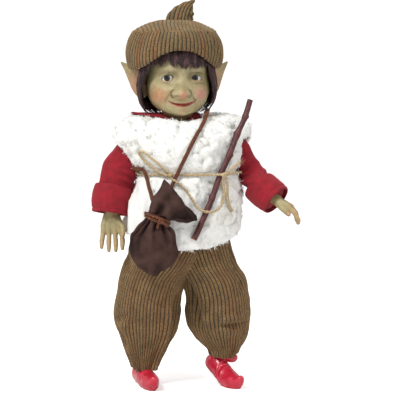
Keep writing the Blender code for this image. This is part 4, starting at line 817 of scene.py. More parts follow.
headRows = [(213, 214.5, 10.8, 9.4, 12.6), (216.2, 221, 13, 16.5, 15), (217.4, 225, 17, 22.3, 19),
            (220.5, 228.5, 20.3, 25.3, 22.5), (225, 232.5, 22.8, 26.6, 25), (231, 237.5, 24.3, 27.2, 27),
            (237, 242.5, 24.7, 27.2, 28.5), (243, 247.5, 24.1, 26.4, 29), (249, 252.5, 23.7, 26.4, 29),
            (256, 258, 23.6, 26.4, 28.5), (264, 264.5, 22.4, 25, 27), (271, 271, 19.2, 21.3, 23),
            (276.5, 276.5, 13.5, 15, 16), (279.6, 279.6, 6.5, 7.5, 8)]
face = {"noseTip": 233.0, "noseShift": -1.7, "noseLength": 12.5, "mouth": 224.4, "mouthHalf": 9.6,
        "smileBend": 0.026,
        "columns": 230, "rows": 144, "lidThickness": 0.75,
        "openings": {-1: (4.6, 2.3), 1: (4.2, 1.9)}}      # half width and half height of each eye
skinTones = {"base": "#a89c72", "shade": "#7d734b", "blush": "#c98a68", "noseTip": "#d88c76",
             "lip": "#a33a32",
             "lipGrooveShade": "#5e1b1a", "lashAndNostrilShade": "#33281c", "ear": "#bd866a", "creaseShading": "#5c5030",
             "light": "#c2b690",
             "cheekPink": "#c67f78"}
ear = {"length": 33.0, "width": 20.0, "thickness": 3.4, "z": 234.0, "sweep": 25.0, "rise": 41.0}


def headLocal(angle, u):
    rows = curve(headRows, u)
    c = np.cos(angle)
    depth = np.where(c > 0, rows[:, 3:4], rows[:, 4:5])
    height = lerp(rows[:, 1:2], rows[:, 0:1], (1 + c) / 2)
    return np.stack([rows[:, 2:3] * np.sin(angle), -depth * c, height], -1)


def faceRelief(x, z):
    side = np.abs(x)
    eye = eyeSpot["spacing"] / 2
    down = (z - face["noseTip"]) / face["noseLength"]
    ridge = np.where(down < 1, smooth(1 - down) * smooth((z - face["noseTip"] + 4.2) / 3.4), 0)
    nose = np.abs(x - face["noseShift"])
    out = (1.4 + 7.8 * ridge) * ridge * bump(nose, 0, 2.5 + 2.1 * ridge)
    out = out + 2.9 * bump(nose, 5.0, 2.1) * bump(z, face["noseTip"] - 0.4, 2.6)
    out -= 2.4 * bump(side, eye, 6.5) * bump(z, eyeSpot["z"], 4.6)
    out += 1.0 * bump(side, eye - 1, 8) * bump(z, eyeSpot["z"] + 7, 3)
    out += 1.9 * bump(side, 14, 7) * bump(z, face["noseTip"] + 1, 6)
    smile = face["mouth"] + 0.018 * side * side
    out += 1.5 * bump(side, 0, 9) * bump(z, smile + 2.6, 2.2)
    out += 1.5 * bump(side, 0, 8) * bump(z, smile - 2.4, 1.9)
    out -= 0.8 * bump(side, 0, 9) * bump(z, smile, 1.0)
    out += 1.7 * bump(side, 0, 6) * bump(z, 218.6, 3)
    return out


def fineRelief(x, z):
    # nostrils, wing creases, lip edges, laughter lines, brow and under-eye folds
    side = np.abs(x)
    tip = face["noseTip"]
    smile = face["mouth"] + face["smileBend"] * x * x + 0.06 * x
    inMouth = smooth((face["mouthHalf"] + 0.6 - side) / 1.6)
    out = -0.75 * bump(z, smile, 0.42) * inMouth
    out += 0.42 * bump(z, smile + 1.1, 0.6) * inMouth + 0.5 * bump(z, smile - 1.25, 0.75) * inMouth
    out -= 0.5 * bump(side, face["mouthHalf"] + 0.7, 0.9) * bump(z, smile + 0.2, 1.1)
    nose = np.abs(x - face["noseShift"])
    out -= 1.7 * bump(nose, 4.4, 0.9) * bump(z, tip - 1.7, 0.75)
    out -= 0.9 * bump(np.hypot(nose - 4.8, z - tip + 0.2), 3.2, 0.55) * smooth((nose - 4.8) / 1.3)
    fold = 8.4 + 0.42 * (tip + 1.0 - z)
    out -= 0.6 * bump(nose, fold, 0.8) * bump(z, tip - 3.6, 3.8)
    out += 0.3 * bump(nose, fold + 1.5, 1.2) * bump(z, tip - 3.0, 3.6)
    eye = eyeSpot["spacing"] / 2
    under = eyeSpot["z"] - 4.6 + 0.035 * (side - eye) ** 2
    out -= 0.32 * bump(z, under, 0.6) * bump(side, eye, 4.6)
    over = eyeSpot["z"] + 4.3 - 0.05 * (side - eye) ** 2
    out -= 0.38 * bump(z, over, 0.6) * bump(side, eye, 4.8)
    out -= 0.3 * bump(nose, 2.6, 0.7) * bump(z, eyeSpot["z"] + 3.5, 2.6)
    out -= 0.9 * bump(side, 6.2, 2.0) * bump(z, eyeSpot["z"] + 2.2, 4.4)
    out -= 0.22 * bump(z, 219.6 + 0.05 * x * x, 0.7) * bump(side, 0, 5)
    return out


def almond(x, z, side):
    # below 1 inside the eye's opening, and its lids follow 1
    half, tall = face["openings"][side]
    dx = (x - side * eyeSpot["spacing"] / 2) / half
    dz = z - eyeSpot["z"] + 0.5 * dx * side * 0.6
    limit = tall * np.clip(1 - dx * dx, 0.0, 1) ** 0.62
    return np.where(np.abs(dx) < 1, np.abs(dz) / np.maximum(limit, 0.05), 9.0)


def headSurface(angle, u):
    # the local points, and what the paint needs to know of each
    base = headLocal(angle, u)
    step = 0.01
    across = headLocal(angle + step, u) - headLocal(angle - step, u)
    up = headLocal(angle, np.minimum(u + step, 1)) - headLocal(angle, np.maximum(u - step, 0))
    normal = np.cross(across, up)
    normal /= np.linalg.norm(normal, axis=-1, keepdims=True) + 1e-9
    front = smooth((np.cos(angle) - 0.1) / 0.5) * smooth(u / 0.04)[:, None]
    out = (faceRelief(base[..., 0], base[..., 2]) + fineRelief(base[..., 0], base[..., 2])) * front
    out += 0.16 * lumps(base, 5, 5) + 0.05 * lumps(base, 1.4, 6)
    points = base + normal * out[..., None]
    for side in (-1, 1):
        centre = np.array([side * eyeSpot["spacing"] / 2, -eyeSpot["depth"], eyeSpot["z"]])
        inside = almond(points[..., 0], points[..., 2], side)
        offset = points - centre
        flat2 = offset[..., 0] ** 2 + offset[..., 2] ** 2
        half = face["openings"][side][0]
        lid = eyeSpot["radius"] + face["lidThickness"]
        ballFront = -np.sqrt(np.maximum(lid ** 2 - flat2, 0.0))
        nearEye = smooth((7.4 - np.sqrt(flat2)) / 3.2) * (offset[..., 1] < 0)
        lids = lerp(offset[..., 1], np.minimum(offset[..., 1], ballFront), nearEye)
        rim = 0.28 * bump(inside, 1.25, 0.22) * (np.abs(offset[..., 0]) < half)
        lids = lids - rim * nearEye
        sunk = -np.sqrt(np.maximum((eyeSpot["radius"] - 1.3) ** 2 - flat2, 1.0))
        opened = smooth((1.06 - inside) / 0.12) * (offset[..., 1] < 0)
        points[..., 1] = centre[1] + lerp(lids, sunk, opened)
    return base, points


def paintFace(points, base):
    x, z = points[..., 0], points[..., 2]
    side = np.abs(x)
    tone = {key: np.array(linear(value)[:3]) for key, value in skinTones.items()}
    colour = np.broadcast_to(tone["base"], points.shape).copy()

    def wash(name, amount):
        colour[...] = colour * (1 - amount[..., None]) + tone[name] * amount[..., None]

    facing = smooth((-base[..., 1]) / 8)
    wash("light", 0.5 * smooth(0.5 + 0.6 * lumps(points, 12, 8)) * facing)
    wash("shade", 0.35 * smooth(0.1 + 0.8 * lumps(points, 9, 9)))
    eye = eyeSpot["spacing"] / 2
    wash("shade", 0.55 * bump(side, eye, 7) * bump(z, eyeSpot["z"] + 3.4, 3.0))
    # painted shade in the inner corners of the eye sockets
    wash("creaseShading", 0.5 * bump(side, 6.0, 2.2) * bump(z, eyeSpot["z"] + 2.4, 4.2))
    wash("blush", 0.8 * bump(np.hypot((x + 17.8) / 1.15, z - 231.0), 0, 5.6) * facing)
    wash("cheekPink", 0.85 * bump(np.hypot((x - 14.6) / 1.0, z - 232.4), 0, 4.8) * facing)
    wash("noseTip", 0.9 * bump(np.hypot(x + 0.7, z - 231.8), 0, 3.0) * facing)
    wash("blush", 0.3 * bump(np.hypot(x, z - 219), 0, 4) * facing)
    smile = face["mouth"] + face["smileBend"] * x * x + 0.06 * x
    lips = smooth((face["mouthHalf"] + 0.4 - side) / 1.2) * facing
    teeth = 0.5 + 0.5 * np.cos(2 * math.pi * x / 1.25)
    wash("lip", lips * smooth((1.55 - np.abs(z - smile + 0.25) - 0.008 * x * x) / 0.5))
    wash("blush", lips * 0.55 * teeth * bump(z, smile - 0.3, 0.55) * bump(x, 0, 5.5))
    # painted shade in the groove between the lips and in the dimple at each corner of the mouth
    wash("lipGrooveShade", lips * 0.85 * bump(z, smile + 0.25, 0.28))
    wash("lipGrooveShade", 0.7 * facing * bump(side, face["mouthHalf"] + 0.5, 0.7) * bump(z, smile + 0.2, 0.7))
    nose = np.abs(x - face["noseShift"])
    # painted shade in the nostrils and in the crease round each nostril wing
    wash("lashAndNostrilShade", facing * 0.95 * bump(nose, 4.4, 0.8) * bump(z, face["noseTip"] - 1.7, 0.6))
    wash("lashAndNostrilShade", facing * 0.75 * bump(np.hypot(nose - 4.8, z - face["noseTip"] + 0.2), 3.2, 0.42)
         * smooth((nose - 4.8) / 1.3))
    fold = 8.4 + 0.42 * (face["noseTip"] + 1.0 - z)
    # painted shade in the fold from each nose wing to the mouth
    wash("creaseShading", facing * 0.6 * bump(nose, fold, 0.75) * bump(z, face["noseTip"] - 3.6, 3.6))
    for which in (-1, 1):
        inside = almond(x, z, which)
        # the painted lash line along each upper lid
        wash("lashAndNostrilShade", facing * 0.95 * bump(inside, 1.2, 0.26) * (z > eyeSpot["z"] - 0.2))
        wash("cheekPink", facing * 0.6 * bump(inside, 1.12, 0.16) * (z <= eyeSpot["z"] - 0.6))
        over = eyeSpot["z"] + 4.3 - 0.05 * (side - eye) ** 2
        # painted shade in the fold over the upper lid
        wash("creaseShading", facing * 0.6 * bump(z, over, 0.6) * bump(x, which * eye, 4.8))
        under = eyeSpot["z"] - 4.4 + 0.035 * (side - eye) ** 2
        # painted shade in the fold under the eye
        wash("creaseShading", facing * 0.4 * bump(z, under, 0.55) * bump(x, which * eye, 4.4))
    return colour


def earGrid(side, rings, count):
    sweep, rise = math.radians(ear["sweep"]), math.radians(ear["rise"])
    flat = np.array([side * math.cos(sweep), math.sin(sweep), 0])
    along = flat * math.cos(rise) + np.array([0, 0, math.sin(rise)])
    facing = np.array([side * math.sin(sweep), -math.cos(sweep), 0])
    across = np.array([0, 0, 1]) * math.cos(rise) - flat * math.sin(rise)
    root = np.array([side * 20.5, 4, ear["z"]])
    rows = curve([(0, 0.80, 1.5, 0), (0.16, 0.98, 1.2, -0.4), (0.34, 0.92, 1.0, -0.2), (0.55, 0.66, 0.9, 0.4),
                  (0.76, 0.36, 0.8, 0.8), (0.92, 0.16, 0.6, 0.9), (1.0, 0.05, 0.35, 0.9)],
                  np.linspace(0, 1, rings))
    angle = np.linspace(0, 2 * math.pi, count, endpoint=False)
    c, s = np.cos(angle), np.sin(angle)
    grid = []
    for t, wide, thick, drift in rows:
        half, deep = ear["width"] / 2 * wide, ear["thickness"] / 2 * thick
        hollow = 1.25 * thick * np.clip(s, 0, 1) * (1 - c * c) * (1 - 0.6 * t) * (1 + 0.5 * np.cos(5 * c))
        curl = 1.6 * c * c * (1 - t)
        centre = root + along * ear["length"] * t + across * drift
        grid.append(centre + across * (half * c)[:, None] + facing * (deep * s - hollow + curl)[:, None])
    return (np.array(grid), np.sin(angle)[None] * np.ones((rings, 1)), rows[:, 0][:, None]
            * np.ones((1, count)))


def makeHead():
    k = np.arange(face["columns"])
    s = 2 * k / face["columns"]
    s = np.where(s > 1, s - 2, s)
    angle = math.pi * s * (0.52 + 0.48 * s * s)
    u = np.linspace(0, 1, face["rows"])
    base, points = headSurface(angle, u)
    foot = np.stack([headSpot["neckRadius"] * np.sin(angle),
                     headSpot["neckBack"] - headSpot["neckRadius"] * np.cos(angle),
                     np.full(len(angle), 207.4)], -1)
    neck = np.array([lerp(foot, points[0], t) for t in (0, 0.33, 0.66)])
    colours = paintFace(points, base)
    shade = np.broadcast_to(np.array(linear(skinTones["shade"])[:3]), neck.shape)
    loft("head_and_face", toHead(np.concatenate([neck, points])), finishes["resin"], "head",
         data={"paint": np.concatenate([shade, colours])})
    tone = {key: np.array(linear(value)[:3]) for key, value in skinTones.items()}
    for side, name in ((-1, "right"), (1, "left")):
        grid, front, along = earGrid(side, 50, 48)
        flush = (0.75 * smooth((front + 0.1) / 0.6) * bump(along, 0.34, 0.34))[..., None]
        tip = (0.55 * smooth((along - 0.72) / 0.25))[..., None]
        paint = tone["base"] * (1 - flush) + tone["ear"] * flush
        paint = paint * (1 - tip) + tone["shade"] * tip
        loft("ear_" + name, toHead(grid), finishes["resin"], data={"paint": paint})


def makeEyes():
    for side, name in ((-1, "right"), (1, "left")):
        centre = np.array([side * eyeSpot["spacing"] / 2, -eyeSpot["depth"], eyeSpot["z"]])
        polar = np.linspace(0.02, math.pi - 0.02, 34)
        turn = np.linspace(0, 2 * math.pi, 36, endpoint=False)
        # the cornea stands a little proud
        radius = eyeSpot["radius"] * 0.94 * (1 + 0.02 * bump(polar, 0, 0.35))
        ring = np.stack([np.sin(polar)[:, None] * np.sin(turn), -np.cos(polar)[:, None] * np.ones(36),
                         np.sin(polar)[:, None] * np.cos(turn)], -1) * radius[:, None, None]
        gaze = np.array([-0.13 if side < 0 else -0.25, -1.0, 0.02])
        gaze /= np.linalg.norm(gaze)
        off = np.arccos(np.clip((ring / np.linalg.norm(ring, axis=-1, keepdims=True)) @ gaze, -1, 1))
        iris = np.clip(off * eyeSpot["radius"] / 4.6, 0, 1)
        loft("doll_eye_" + name, toHead(centre + ring), finishes["eye"], "glass_eye_" + name,
             data={"iris": iris})


makeHead()
makeEyes()
print("head and eyes made")


# Wig: a fur cap with a straight fringe, covered in separate hairs

wig = {"fringe": 254.5, "lock": 229.0, "nape": 224.0, "thickness": 5.0, "fringeThickness": 4.2, "top": 4.0,
       "hairs": 3550, "hairRadius": 0.21}


def wigEdge(angle):
    signed = np.degrees(np.arctan2(np.sin(angle), np.cos(angle)))
    turn = np.abs(signed)
    fringe = wig["fringe"] + 1.3 + 2.6 * bump(signed, -27, 8) - 0.9 * bump(signed, 8, 14)
    lock = lerp(fringe, wig["lock"], smooth((turn - np.where(signed < 0, 53, 46)) / 24))
    return lerp(lock, wig["nape"], smooth((turn - 78) / 40))


def wigStart(angle):
    u = np.linspace(0, 1, 200)
    heights = headLocal(np.atleast_1d(angle), u)[..., 2]
    return np.array([np.interp(wigEdge(a), heights[:, k], u) for k, a in enumerate(np.atleast_1d(angle))])


def bushy(angle, t):
    # the hair stands out over the ears, more on the right
    signed = np.degrees(np.arctan2(np.sin(angle), np.cos(angle)))
    return (4.6 * bump(signed, -74, 20) + 1.6 * bump(signed, 76, 18)) * smooth((0.75 - t) / 0.5)


def overWig(angle, t, extra=0.0):
    # points on the cap; t runs from its lower edge, 0, to the crown, 1
    start = wigStart(angle)
    points = np.empty((len(t), len(angle), 3))
    for k, a in enumerate(angle):
        u = lerp(start[k], 1.0, t)
        base = headLocal(np.array([a]), u)[:, 0]
        step = 0.01
        across = headLocal(np.array([a + step]), u)[:, 0] - headLocal(np.array([a - step]), u)[:, 0]
        up = (headLocal(np.array([a]), np.minimum(u + step, 1))[:, 0]
              - headLocal(np.array([a]), np.maximum(u - step, 0))[:, 0])
        normal = np.cross(across, up)
        normal /= np.linalg.norm(normal, axis=-1, keepdims=True) + 1e-9
        size = lerp(wig["thickness"], wig["fringeThickness"], smooth((math.cos(a) - 0.35) / 0.4))
        size = lerp(size, wig["top"], smooth(t))
        points[:, k] = base + normal * (size + extra + bushy(a, t))[:, None]
    return points


def makeWig():
    angle = np.linspace(0, 2 * math.pi, 130, endpoint=False)
    t = np.linspace(0.05, 1, 30)
    outer = overWig(angle, t, -1.1)
    outer += 0.35 * lumps(outer, 3, 11)[..., None] * gridNormals(outer)
    inner = overWig(angle, t, -2.6)
    grid = np.concatenate([outer[::-1], inner])
    # the cap under the hairs is painted darker than the hairs, as shade among them, and its inside darker
    # still
    tone = np.concatenate([0.25 + 0.2 * lumps(outer[::-1], 3, 12), np.full(inner.shape[:2], 0.1)])
    loft("fur_cap", toHead(grid), finishes["hair"], "wig", data={"tone": tone})
    angles = random.uniform(-math.pi, math.pi, wig["hairs"])
    order = np.argsort(angles)
    angles = angles[order]
    grids, tones = [], []
    steps = np.linspace(0, 1, 5)
    for a in angles:
        turn = abs(math.degrees(a))
        high = random.uniform(0.02, 0.62 if turn > 42 else 0.42)
        length = random.uniform(0.16, 0.42)
        ragged = (0.12 if turn < 50 else 0.3) * random.rand() ** 2
        low = max(high - length, -0.02 - ragged - 0.03 * math.sin(31 * a + 4 * math.sin(7 * a)))
        drift = random.normal() * 0.05 + 0.07 * math.sin(19 * a + 3)
        t = lerp(high, low, steps)
        swing = a + drift * steps ** 1.5 + 0.012 * math.sin(9 * a)
        lift = -0.9 + 1.0 * random.rand() * np.sin(math.pi * np.minimum(steps * 1.1, 1)) - 0.25 * steps
        path = np.array([overWigPoint(angleNow, tNow, extra) for angleNow, tNow,
                         extra in zip(swing, t, lift)])
        grids.append(tubeGrid(path, wig["hairRadius"] * np.array([0.7, 1.1, 1.1, 0.9, 0.3]), 3))
        tones.append(np.full(5 * 3 + 2, np.clip(0.5 + 0.28 * random.normal() + 0.25 * math.sin(23 * a), 0,
                                                1)))
    points, faces = joined(grids)
    makeMesh("fur_hairs", toHead(points), faces, finishes["hair"],
             data={"tone": np.concatenate(tones)})


capTable = {"angle": np.linspace(-math.pi - 0.5, math.pi + 0.5, 260), "t": np.linspace(-0.4, 1, 110)}


def fillCapTable():
    angle, t = capTable["angle"], capTable["t"]
    start = wigStart(angle)
    u = np.clip(lerp(start[None, :], 1.0, t[:, None]), 0, 1)
    base = np.empty(u.shape + (3,))
    normal = np.empty_like(base)
    step = 0.01
    for k, a in enumerate(angle):
        at = np.array([a])
        base[:, k] = headLocal(at, u[:, k])[:, 0]
        across = headLocal(at + step, u[:, k])[:, 0] - headLocal(at - step, u[:, k])[:, 0]
        up = (headLocal(at, np.minimum(u[:, k] + step, 1))[:, 0]
              - headLocal(at, np.maximum(u[:, k] - step, 0))[:, 0])
        made = np.cross(across, up)
        normal[:, k] = made / (np.linalg.norm(made, axis=-1, keepdims=True) + 1e-9)
    capTable["base"], capTable["normal"] = base, normal


def overWigPoint(a, t, extra):
    angle, heights = capTable["angle"], capTable["t"]
    i = min(max((a - angle[0]) / (angle[1] - angle[0]), 0), len(angle) - 1.001)
    j = min(max((t - heights[0]) / (heights[1] - heights[0]), 0), len(heights) - 1.001)
    i0, j0 = int(i), int(j)
    fi, fj = i - i0, j - j0

    def pick(table):
        return ((table[j0, i0] * (1 - fi) + table[j0, i0 + 1] * fi) * (1 - fj)
                + (table[j0 + 1, i0] * (1 - fi) + table[j0 + 1, i0 + 1] * fi) * fj)

    size = lerp(wig["thickness"], wig["fringeThickness"], float(smooth((math.cos(a) - 0.35) / 0.4)))
    size = lerp(size, wig["top"], float(smooth(t)))
    return pick(capTable["base"]) + pick(capTable["normal"]) * (size + extra + float(bushy(a, t)))


fillCapTable()
makeWig()
print("wig made")


# Hat: a turned-up band of corduroy round a soft crown that ends in a curled tip

hat = {"x": -20.5, "y": 2.0, "radius": 37.6, "depth": 38.2, "frontLow": 266.5, "drop": 13.5, "top": 281.0,
       "seat": -7.4, "thickness": 4.6, "ribs": 74, "ribWidth": 3.2, "ribHeight": 0.62, "perRib": 7}
tipRows = [(289.1, -16.6, 10.7), (293.6, -15.6, 9.6), (298.6, -13.6, 7.6), (301.8, -10.8, 5.4),
           (303.9, -7.6, 3.4),
           (305.0, -5.4, 1.4)]


def ribProfile(phase):
    # 0 in the groove, 1 on the crest of a rounded rib; phase counts ribs
    return 1 - np.abs(np.cos(math.pi * phase)) ** 3.2


def yarnOf(phase, seed):
    # each rib's own yarn colour, from 0 to 1
    rib = np.floor(phase + 0.5)
    value = np.sin(rib * 12.9898 + seed * 78.233) * 43758.5453
    return np.abs(value - np.floor(value))


def hatRing(grow, height, angle):
    grow = np.broadcast_to(grow, angle.shape)
    dx, dy = turned((hat["radius"] + grow) * np.sin(angle), -(hat["depth"] + grow) * np.cos(angle),
                    headSpot["yaw"])
    return np.stack([hat["x"] + dx, hat["y"] + dy, np.broadcast_to(height, angle.shape)], -1)


def brimLow(angle):
    turn = np.abs(np.degrees(np.arctan2(np.sin(angle), np.cos(angle))))
    return hat["frontLow"] - hat["drop"] * smooth((turn - 4) / 62)


def makeBrim():
    count = hat["ribs"] * hat["perRib"]
    angle = np.linspace(0, 2 * math.pi, count, endpoint=False)
    turn = np.degrees(np.arctan2(np.sin(angle), np.cos(angle)))
    profile = [(-4.4, 0.02), (-2.9, -0.045), (-1.3, 0.02), (-0.3, 0.16), (0.35, 0.42), (-1.3, 0.72),
               (-4.4, 0.93),
               (-6.4, 0.985), (-7.2, 0.93), (-5.2, 0.7), (-4.6, 0.4), (-4.6, 0.15), (-4.4, 0.02)]
    rows = curve(profile, np.linspace(0, 1, 61)[:-1])
    place = np.arange(60) / 60
    outerness = smooth((place - 0.02) / 0.09) * smooth((0.74 - place) / 0.09)
    grid = np.array([hatRing(g, lerp(brimLow(angle), hat["top"], t), angle) for g, t in rows])
    lean = 0.9 * np.sin(angle)                    # the ribs splay outwards at the sides
    phase = angle / (2 * math.pi) * hat["ribs"] + lean[None] * (rows[:, 1:2] - 0.4) * 1.6
    rib = ribProfile(phase)
    roll = 0.7 * lumps(grid * [1, 1, 0.5], 13, 21) + 0.35 * lumps(grid, 5, 22)
    fold = (-2.2 * bump(turn + 26 * (rows[:, 1:2] - 0.3), 58, 5)
            + 0.9 * bump(turn + 26 * (rows[:, 1:2] - 0.3), 48, 6))
    out = (hat["ribHeight"] * (rib - 0.6) + roll + fold * smooth(rows[:, 1:2] / 0.2)) * outerness[:, None]
    grid += gridNormals(grid) * np.clip(out, -2.5, 1.1)[..., None]
    # the inner side of the band gets a middle rib value, so part of the painted groove shade darkens it
    loft("hat_band", grid, finishes["hat"], "hat_brim", loop=True,
         data={"rib": rib * outerness[:, None] + 0.3 * (1 - outerness[:, None]), "yarn": yarnOf(phase, 1)})


def makeCrown():
    count = 220
    angle = np.linspace(0, 2 * math.pi, count, endpoint=False)
    seat = hat["seat"] - 1.4
    rings = []
    for z, x, radius in curve(tipRows, np.linspace(1, 0, 34)):
        pleat = 1 + 0.05 * np.cos(5 * angle) * smooth((301 - z) / 8)
        dx, dy = turned(radius * pleat * np.sin(angle), -radius * pleat * 0.85 * np.cos(angle),
                        headSpot["yaw"])
        rings.append(np.stack([x + dx, hat["y"] + dy, np.full(count, z)], -1))
    rings = [lerp(rings[0].mean(0), rings[0], 0.5)] + rings
    crown = [(-24.5, 288.9), (-19, 287.4), (-13.8, 285.2), (-9.2, 283.0), (-6.2, 281.2), (-5.2, 279.8),
             (-5.2, 276)]
    for grow, z in curve(crown, np.linspace(0, 1, 34)):
        rings.append(hatRing(grow, z, angle))
    under = [(seat - 2, 275), (seat - 3, 281), (-20, 283.7), (-30, 284.0)]
    for grow, z in curve(under, np.linspace(0, 1, 8)):
        rings.append(hatRing(grow, z, angle))
    grid = np.array(rings)
    outside = smooth((70 - np.arange(len(rings))) / 3)[:, None] * np.ones((1, count))
    middle = np.interp(grid[..., 2], [286, 289.1] + [row[0] for row in tipRows[1:]],
                       [-18.5, -16.6] + [row[1] for row in tipRows[1:]])
    across = ((grid[..., 0] - middle) * math.cos(math.radians(10))
              + (grid[..., 1] - hat["y"]) * math.sin(math.radians(10)))
    phase = across / (hat["ribWidth"] * 0.9)
    rib = ribProfile(phase)
    steep = smooth((grid[..., 2] - 288) / 4)
    folds = 0.9 * lumps(grid * [1, 1, 0.7], 6, 23) * steep + 0.6 * lumps(grid, 9, 24)
    folds -= 1.3 * bump(grid[..., 2], 291.5, 1.3) * smooth((grid[..., 0] + 12) / 5) * steep
    folds += 1.0 * bump(grid[..., 2], 294, 1.4) * smooth((grid[..., 0] + 12) / 5) * steep
    # rings run from the tip down, so the normals of the grid point inwards
    grid -= gridNormals(grid) * ((0.5 * (rib - 0.6) + folds * 0.6) * outside)[..., None]
    grid[..., 2] = np.minimum(grid[..., 2], 305.6)
    # the underside inside the crown gets a middle rib value, so part of the painted groove shade darkens it
    loft("hat_crown_and_tip", grid, finishes["hat"], "hat_crown",
         data={"rib": rib * outside + 0.3 * (1 - outside), "yarn": yarnOf(phase, 2)})


makeBrim()
makeCrown()
print("hat made")


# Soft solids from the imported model, smoothed and remeshed finely enough to carve

def carved(nodeName, voxel, rounds):
    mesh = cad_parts[nodeName].data.copy()
    item = bpy.data.objects.new("carving", mesh)
    bpy.context.collection.objects.link(item)
    remesh = item.modifiers.new("remesh", "REMESH")
    remesh.mode = "VOXEL"
    remesh.voxel_size = voxel * mm
    soften = item.modifiers.new("soften", "SMOOTH")
    soften.factor, soften.iterations = 0.5, rounds
    return takenPoints(item)


def takenPoints(item):
    # points, normals and faces of an object with its modifiers, which is then removed
    bpy.context.view_layer.update()
    graph = bpy.context.evaluated_depsgraph_get()
    mesh = bpy.data.meshes.new_from_object(item.evaluated_get(graph))
    points = np.empty(len(mesh.vertices) * 3)
    mesh.vertices.foreach_get("co", points)
    normals = np.empty(len(mesh.vertices) * 3)
    mesh.vertices.foreach_get("normal", normals)
    faces = [tuple(face.vertices) for face in mesh.polygons]
    bpy.data.objects.remove(item)
    bpy.data.meshes.remove(mesh)
    return points.reshape(-1, 3) / mm - shift, normals.reshape(-1, 3), faces


# Vest: sheepskin, pile outwards, belted with twine

fleece = {"voxel": 1.3, "curl": 6.2, "smallCurl": 2.9, "curlHeight": 2.4, "smallHeight": 1.0, "tufts": 3100,
          "tuftLength": 2.1, "tuftRadius": 0.21}


def cellBumps(points, size, seed):
    # rounded clumps packed side by side: 1 in the middle of each, 0 between them
    scaled = points / size + seed * 3.7
    away = np.array([noise.voronoi(Vector(p))[0][0] for p in scaled])
    return np.sqrt(np.clip(1 - (away / 0.86) ** 2, 0, 1))


def outwardness(points, normals):
    rows = rowAt(vestRows, np.clip(points[:, 2], 113, 214.2))
    dx, dy = turned(points[:, 0] - rows[:, 1], points[:, 1] - rows[:, 2], -trunkYaw)
    nx, ny = turned(dx / rows[:, 3] ** 2, dy / rows[:, 4] ** 2, trunkYaw)
    out = np.stack([nx, ny, np.zeros(len(nx))], -1)
    out /= np.linalg.norm(out, axis=1, keepdims=True) + 1e-9
    facing = (normals * out).sum(1)
    top = smooth((points[:, 2] - 196) / 8) * normals[:, 2]
    reach = np.hypot(dx / rows[:, 3], dy / rows[:, 4])
    return smooth((np.maximum(facing, top) + 0.1) / 0.4) * smooth((reach - 0.62) / 0.12)


def makeVest():
    points, normals, faces = carved("vest", fleece["voxel"], 6)
    weight = outwardness(points, normals)
    big = cellBumps(points, fleece["curl"], 1)
    small = cellBumps(points, fleece["smallCurl"], 2)
    # the front right below the belt is brushed nearly flat, with soft folds
    flatness = smooth((-34 - points[:, 0]) / 6) * smooth((168 - points[:, 2]) / 6) * (points[:, 1] < 8)
    belt = 1 - 0.8 * bump(points[:, 2], 171, 2.6)
    height = fleece["curlHeight"] * (big - 0.55) + fleece["smallHeight"] * (small - 0.5)
    folds = 0.9 * np.sin(points[:, 0] * 0.62 + 0.07 * points[:, 2]) * flatness
    height = (height * (1 - 0.75 * flatness) + folds) * belt
    stick = twigAt(points[:, 2])
    nearTwig = bump(points[:, 0], stick[:, 0], 3.2) * (points[:, 1] < 0)
    height = np.where(height > 0, height * (1 - 0.8 * nearTwig), height)
    byNeck = (smooth((31 - np.hypot(points[:, 0] + 18, points[:, 1] - 2)) / 8)
              * smooth((points[:, 2] - 205) / 4))
    height -= byNeck * (0.9 + np.maximum(height, 0) * 0.7)
    moved = points + normals * (height * weight)[:, None]
    # curl is high on each clump and low between them, so the pile paints shade into the hollows; on the
    # brushed-flat front it is pulled to one even tone
    curl = np.clip(0.16 + 0.62 * big + 0.3 * small - 0.2, 0, 1)
    curl = lerp(curl, 0.72, 0.7 * flatness)
    item = makeMesh("sheepskin_vest", moved, faces, [finishes["pile"], finishes["skinSide"]],
                    "vest",
                    data={"curl": curl})
    inside = weight < 0.3
    for polygon in item.data.polygons:
        if all(inside[i] for i in polygon.vertices):
            polygon.material_index = 1
    pick = np.flatnonzero((weight > 0.55) & (nearTwig < 0.4))
    edge = np.flatnonzero((weight > 0.25) & (weight < 0.75))
    chosen = np.concatenate([random.choice(pick, fleece["tufts"]), random.choice(edge, fleece["tufts"] // 6)])
    grids, curls = [], []
    steps = np.linspace(0, 1, 5)[:, None]
    for i in chosen:
        long = fleece["tuftLength"] * (0.5 + random.rand()) * (1 - 0.65 * flatness[i])
        way = normals[i] * 0.8 + random.normal(size=3) * 0.45 - np.array([0, 0, 0.25])
        bend = random.normal(size=3)
        path = (moved[i] - normals[i] * 0.4 + way * long * 0.55 * steps
                + bend * long * 0.42 * np.sin(steps * 4.2))
        grids.append(tubeGrid(path, fleece["tuftRadius"] * np.array([1.2, 1.3, 1.2, 0.9, 0.4]), 3))
        # each tuft is a little lighter than the pile at its root: painted light on the raised tufts
        curls.append(np.full(5 * 3 + 2, np.clip(curl[i] + 0.18, 0, 1)))
    tuftPoints, tuftFaces = joined(grids)
    makeMesh("sheepskin_curls", tuftPoints, tuftFaces, finishes["pile"],
             data={"curl": np.concatenate(curls)})


makeVest()
print("vest made")


# Trousers: wide corduroy legs, gathered at the hems

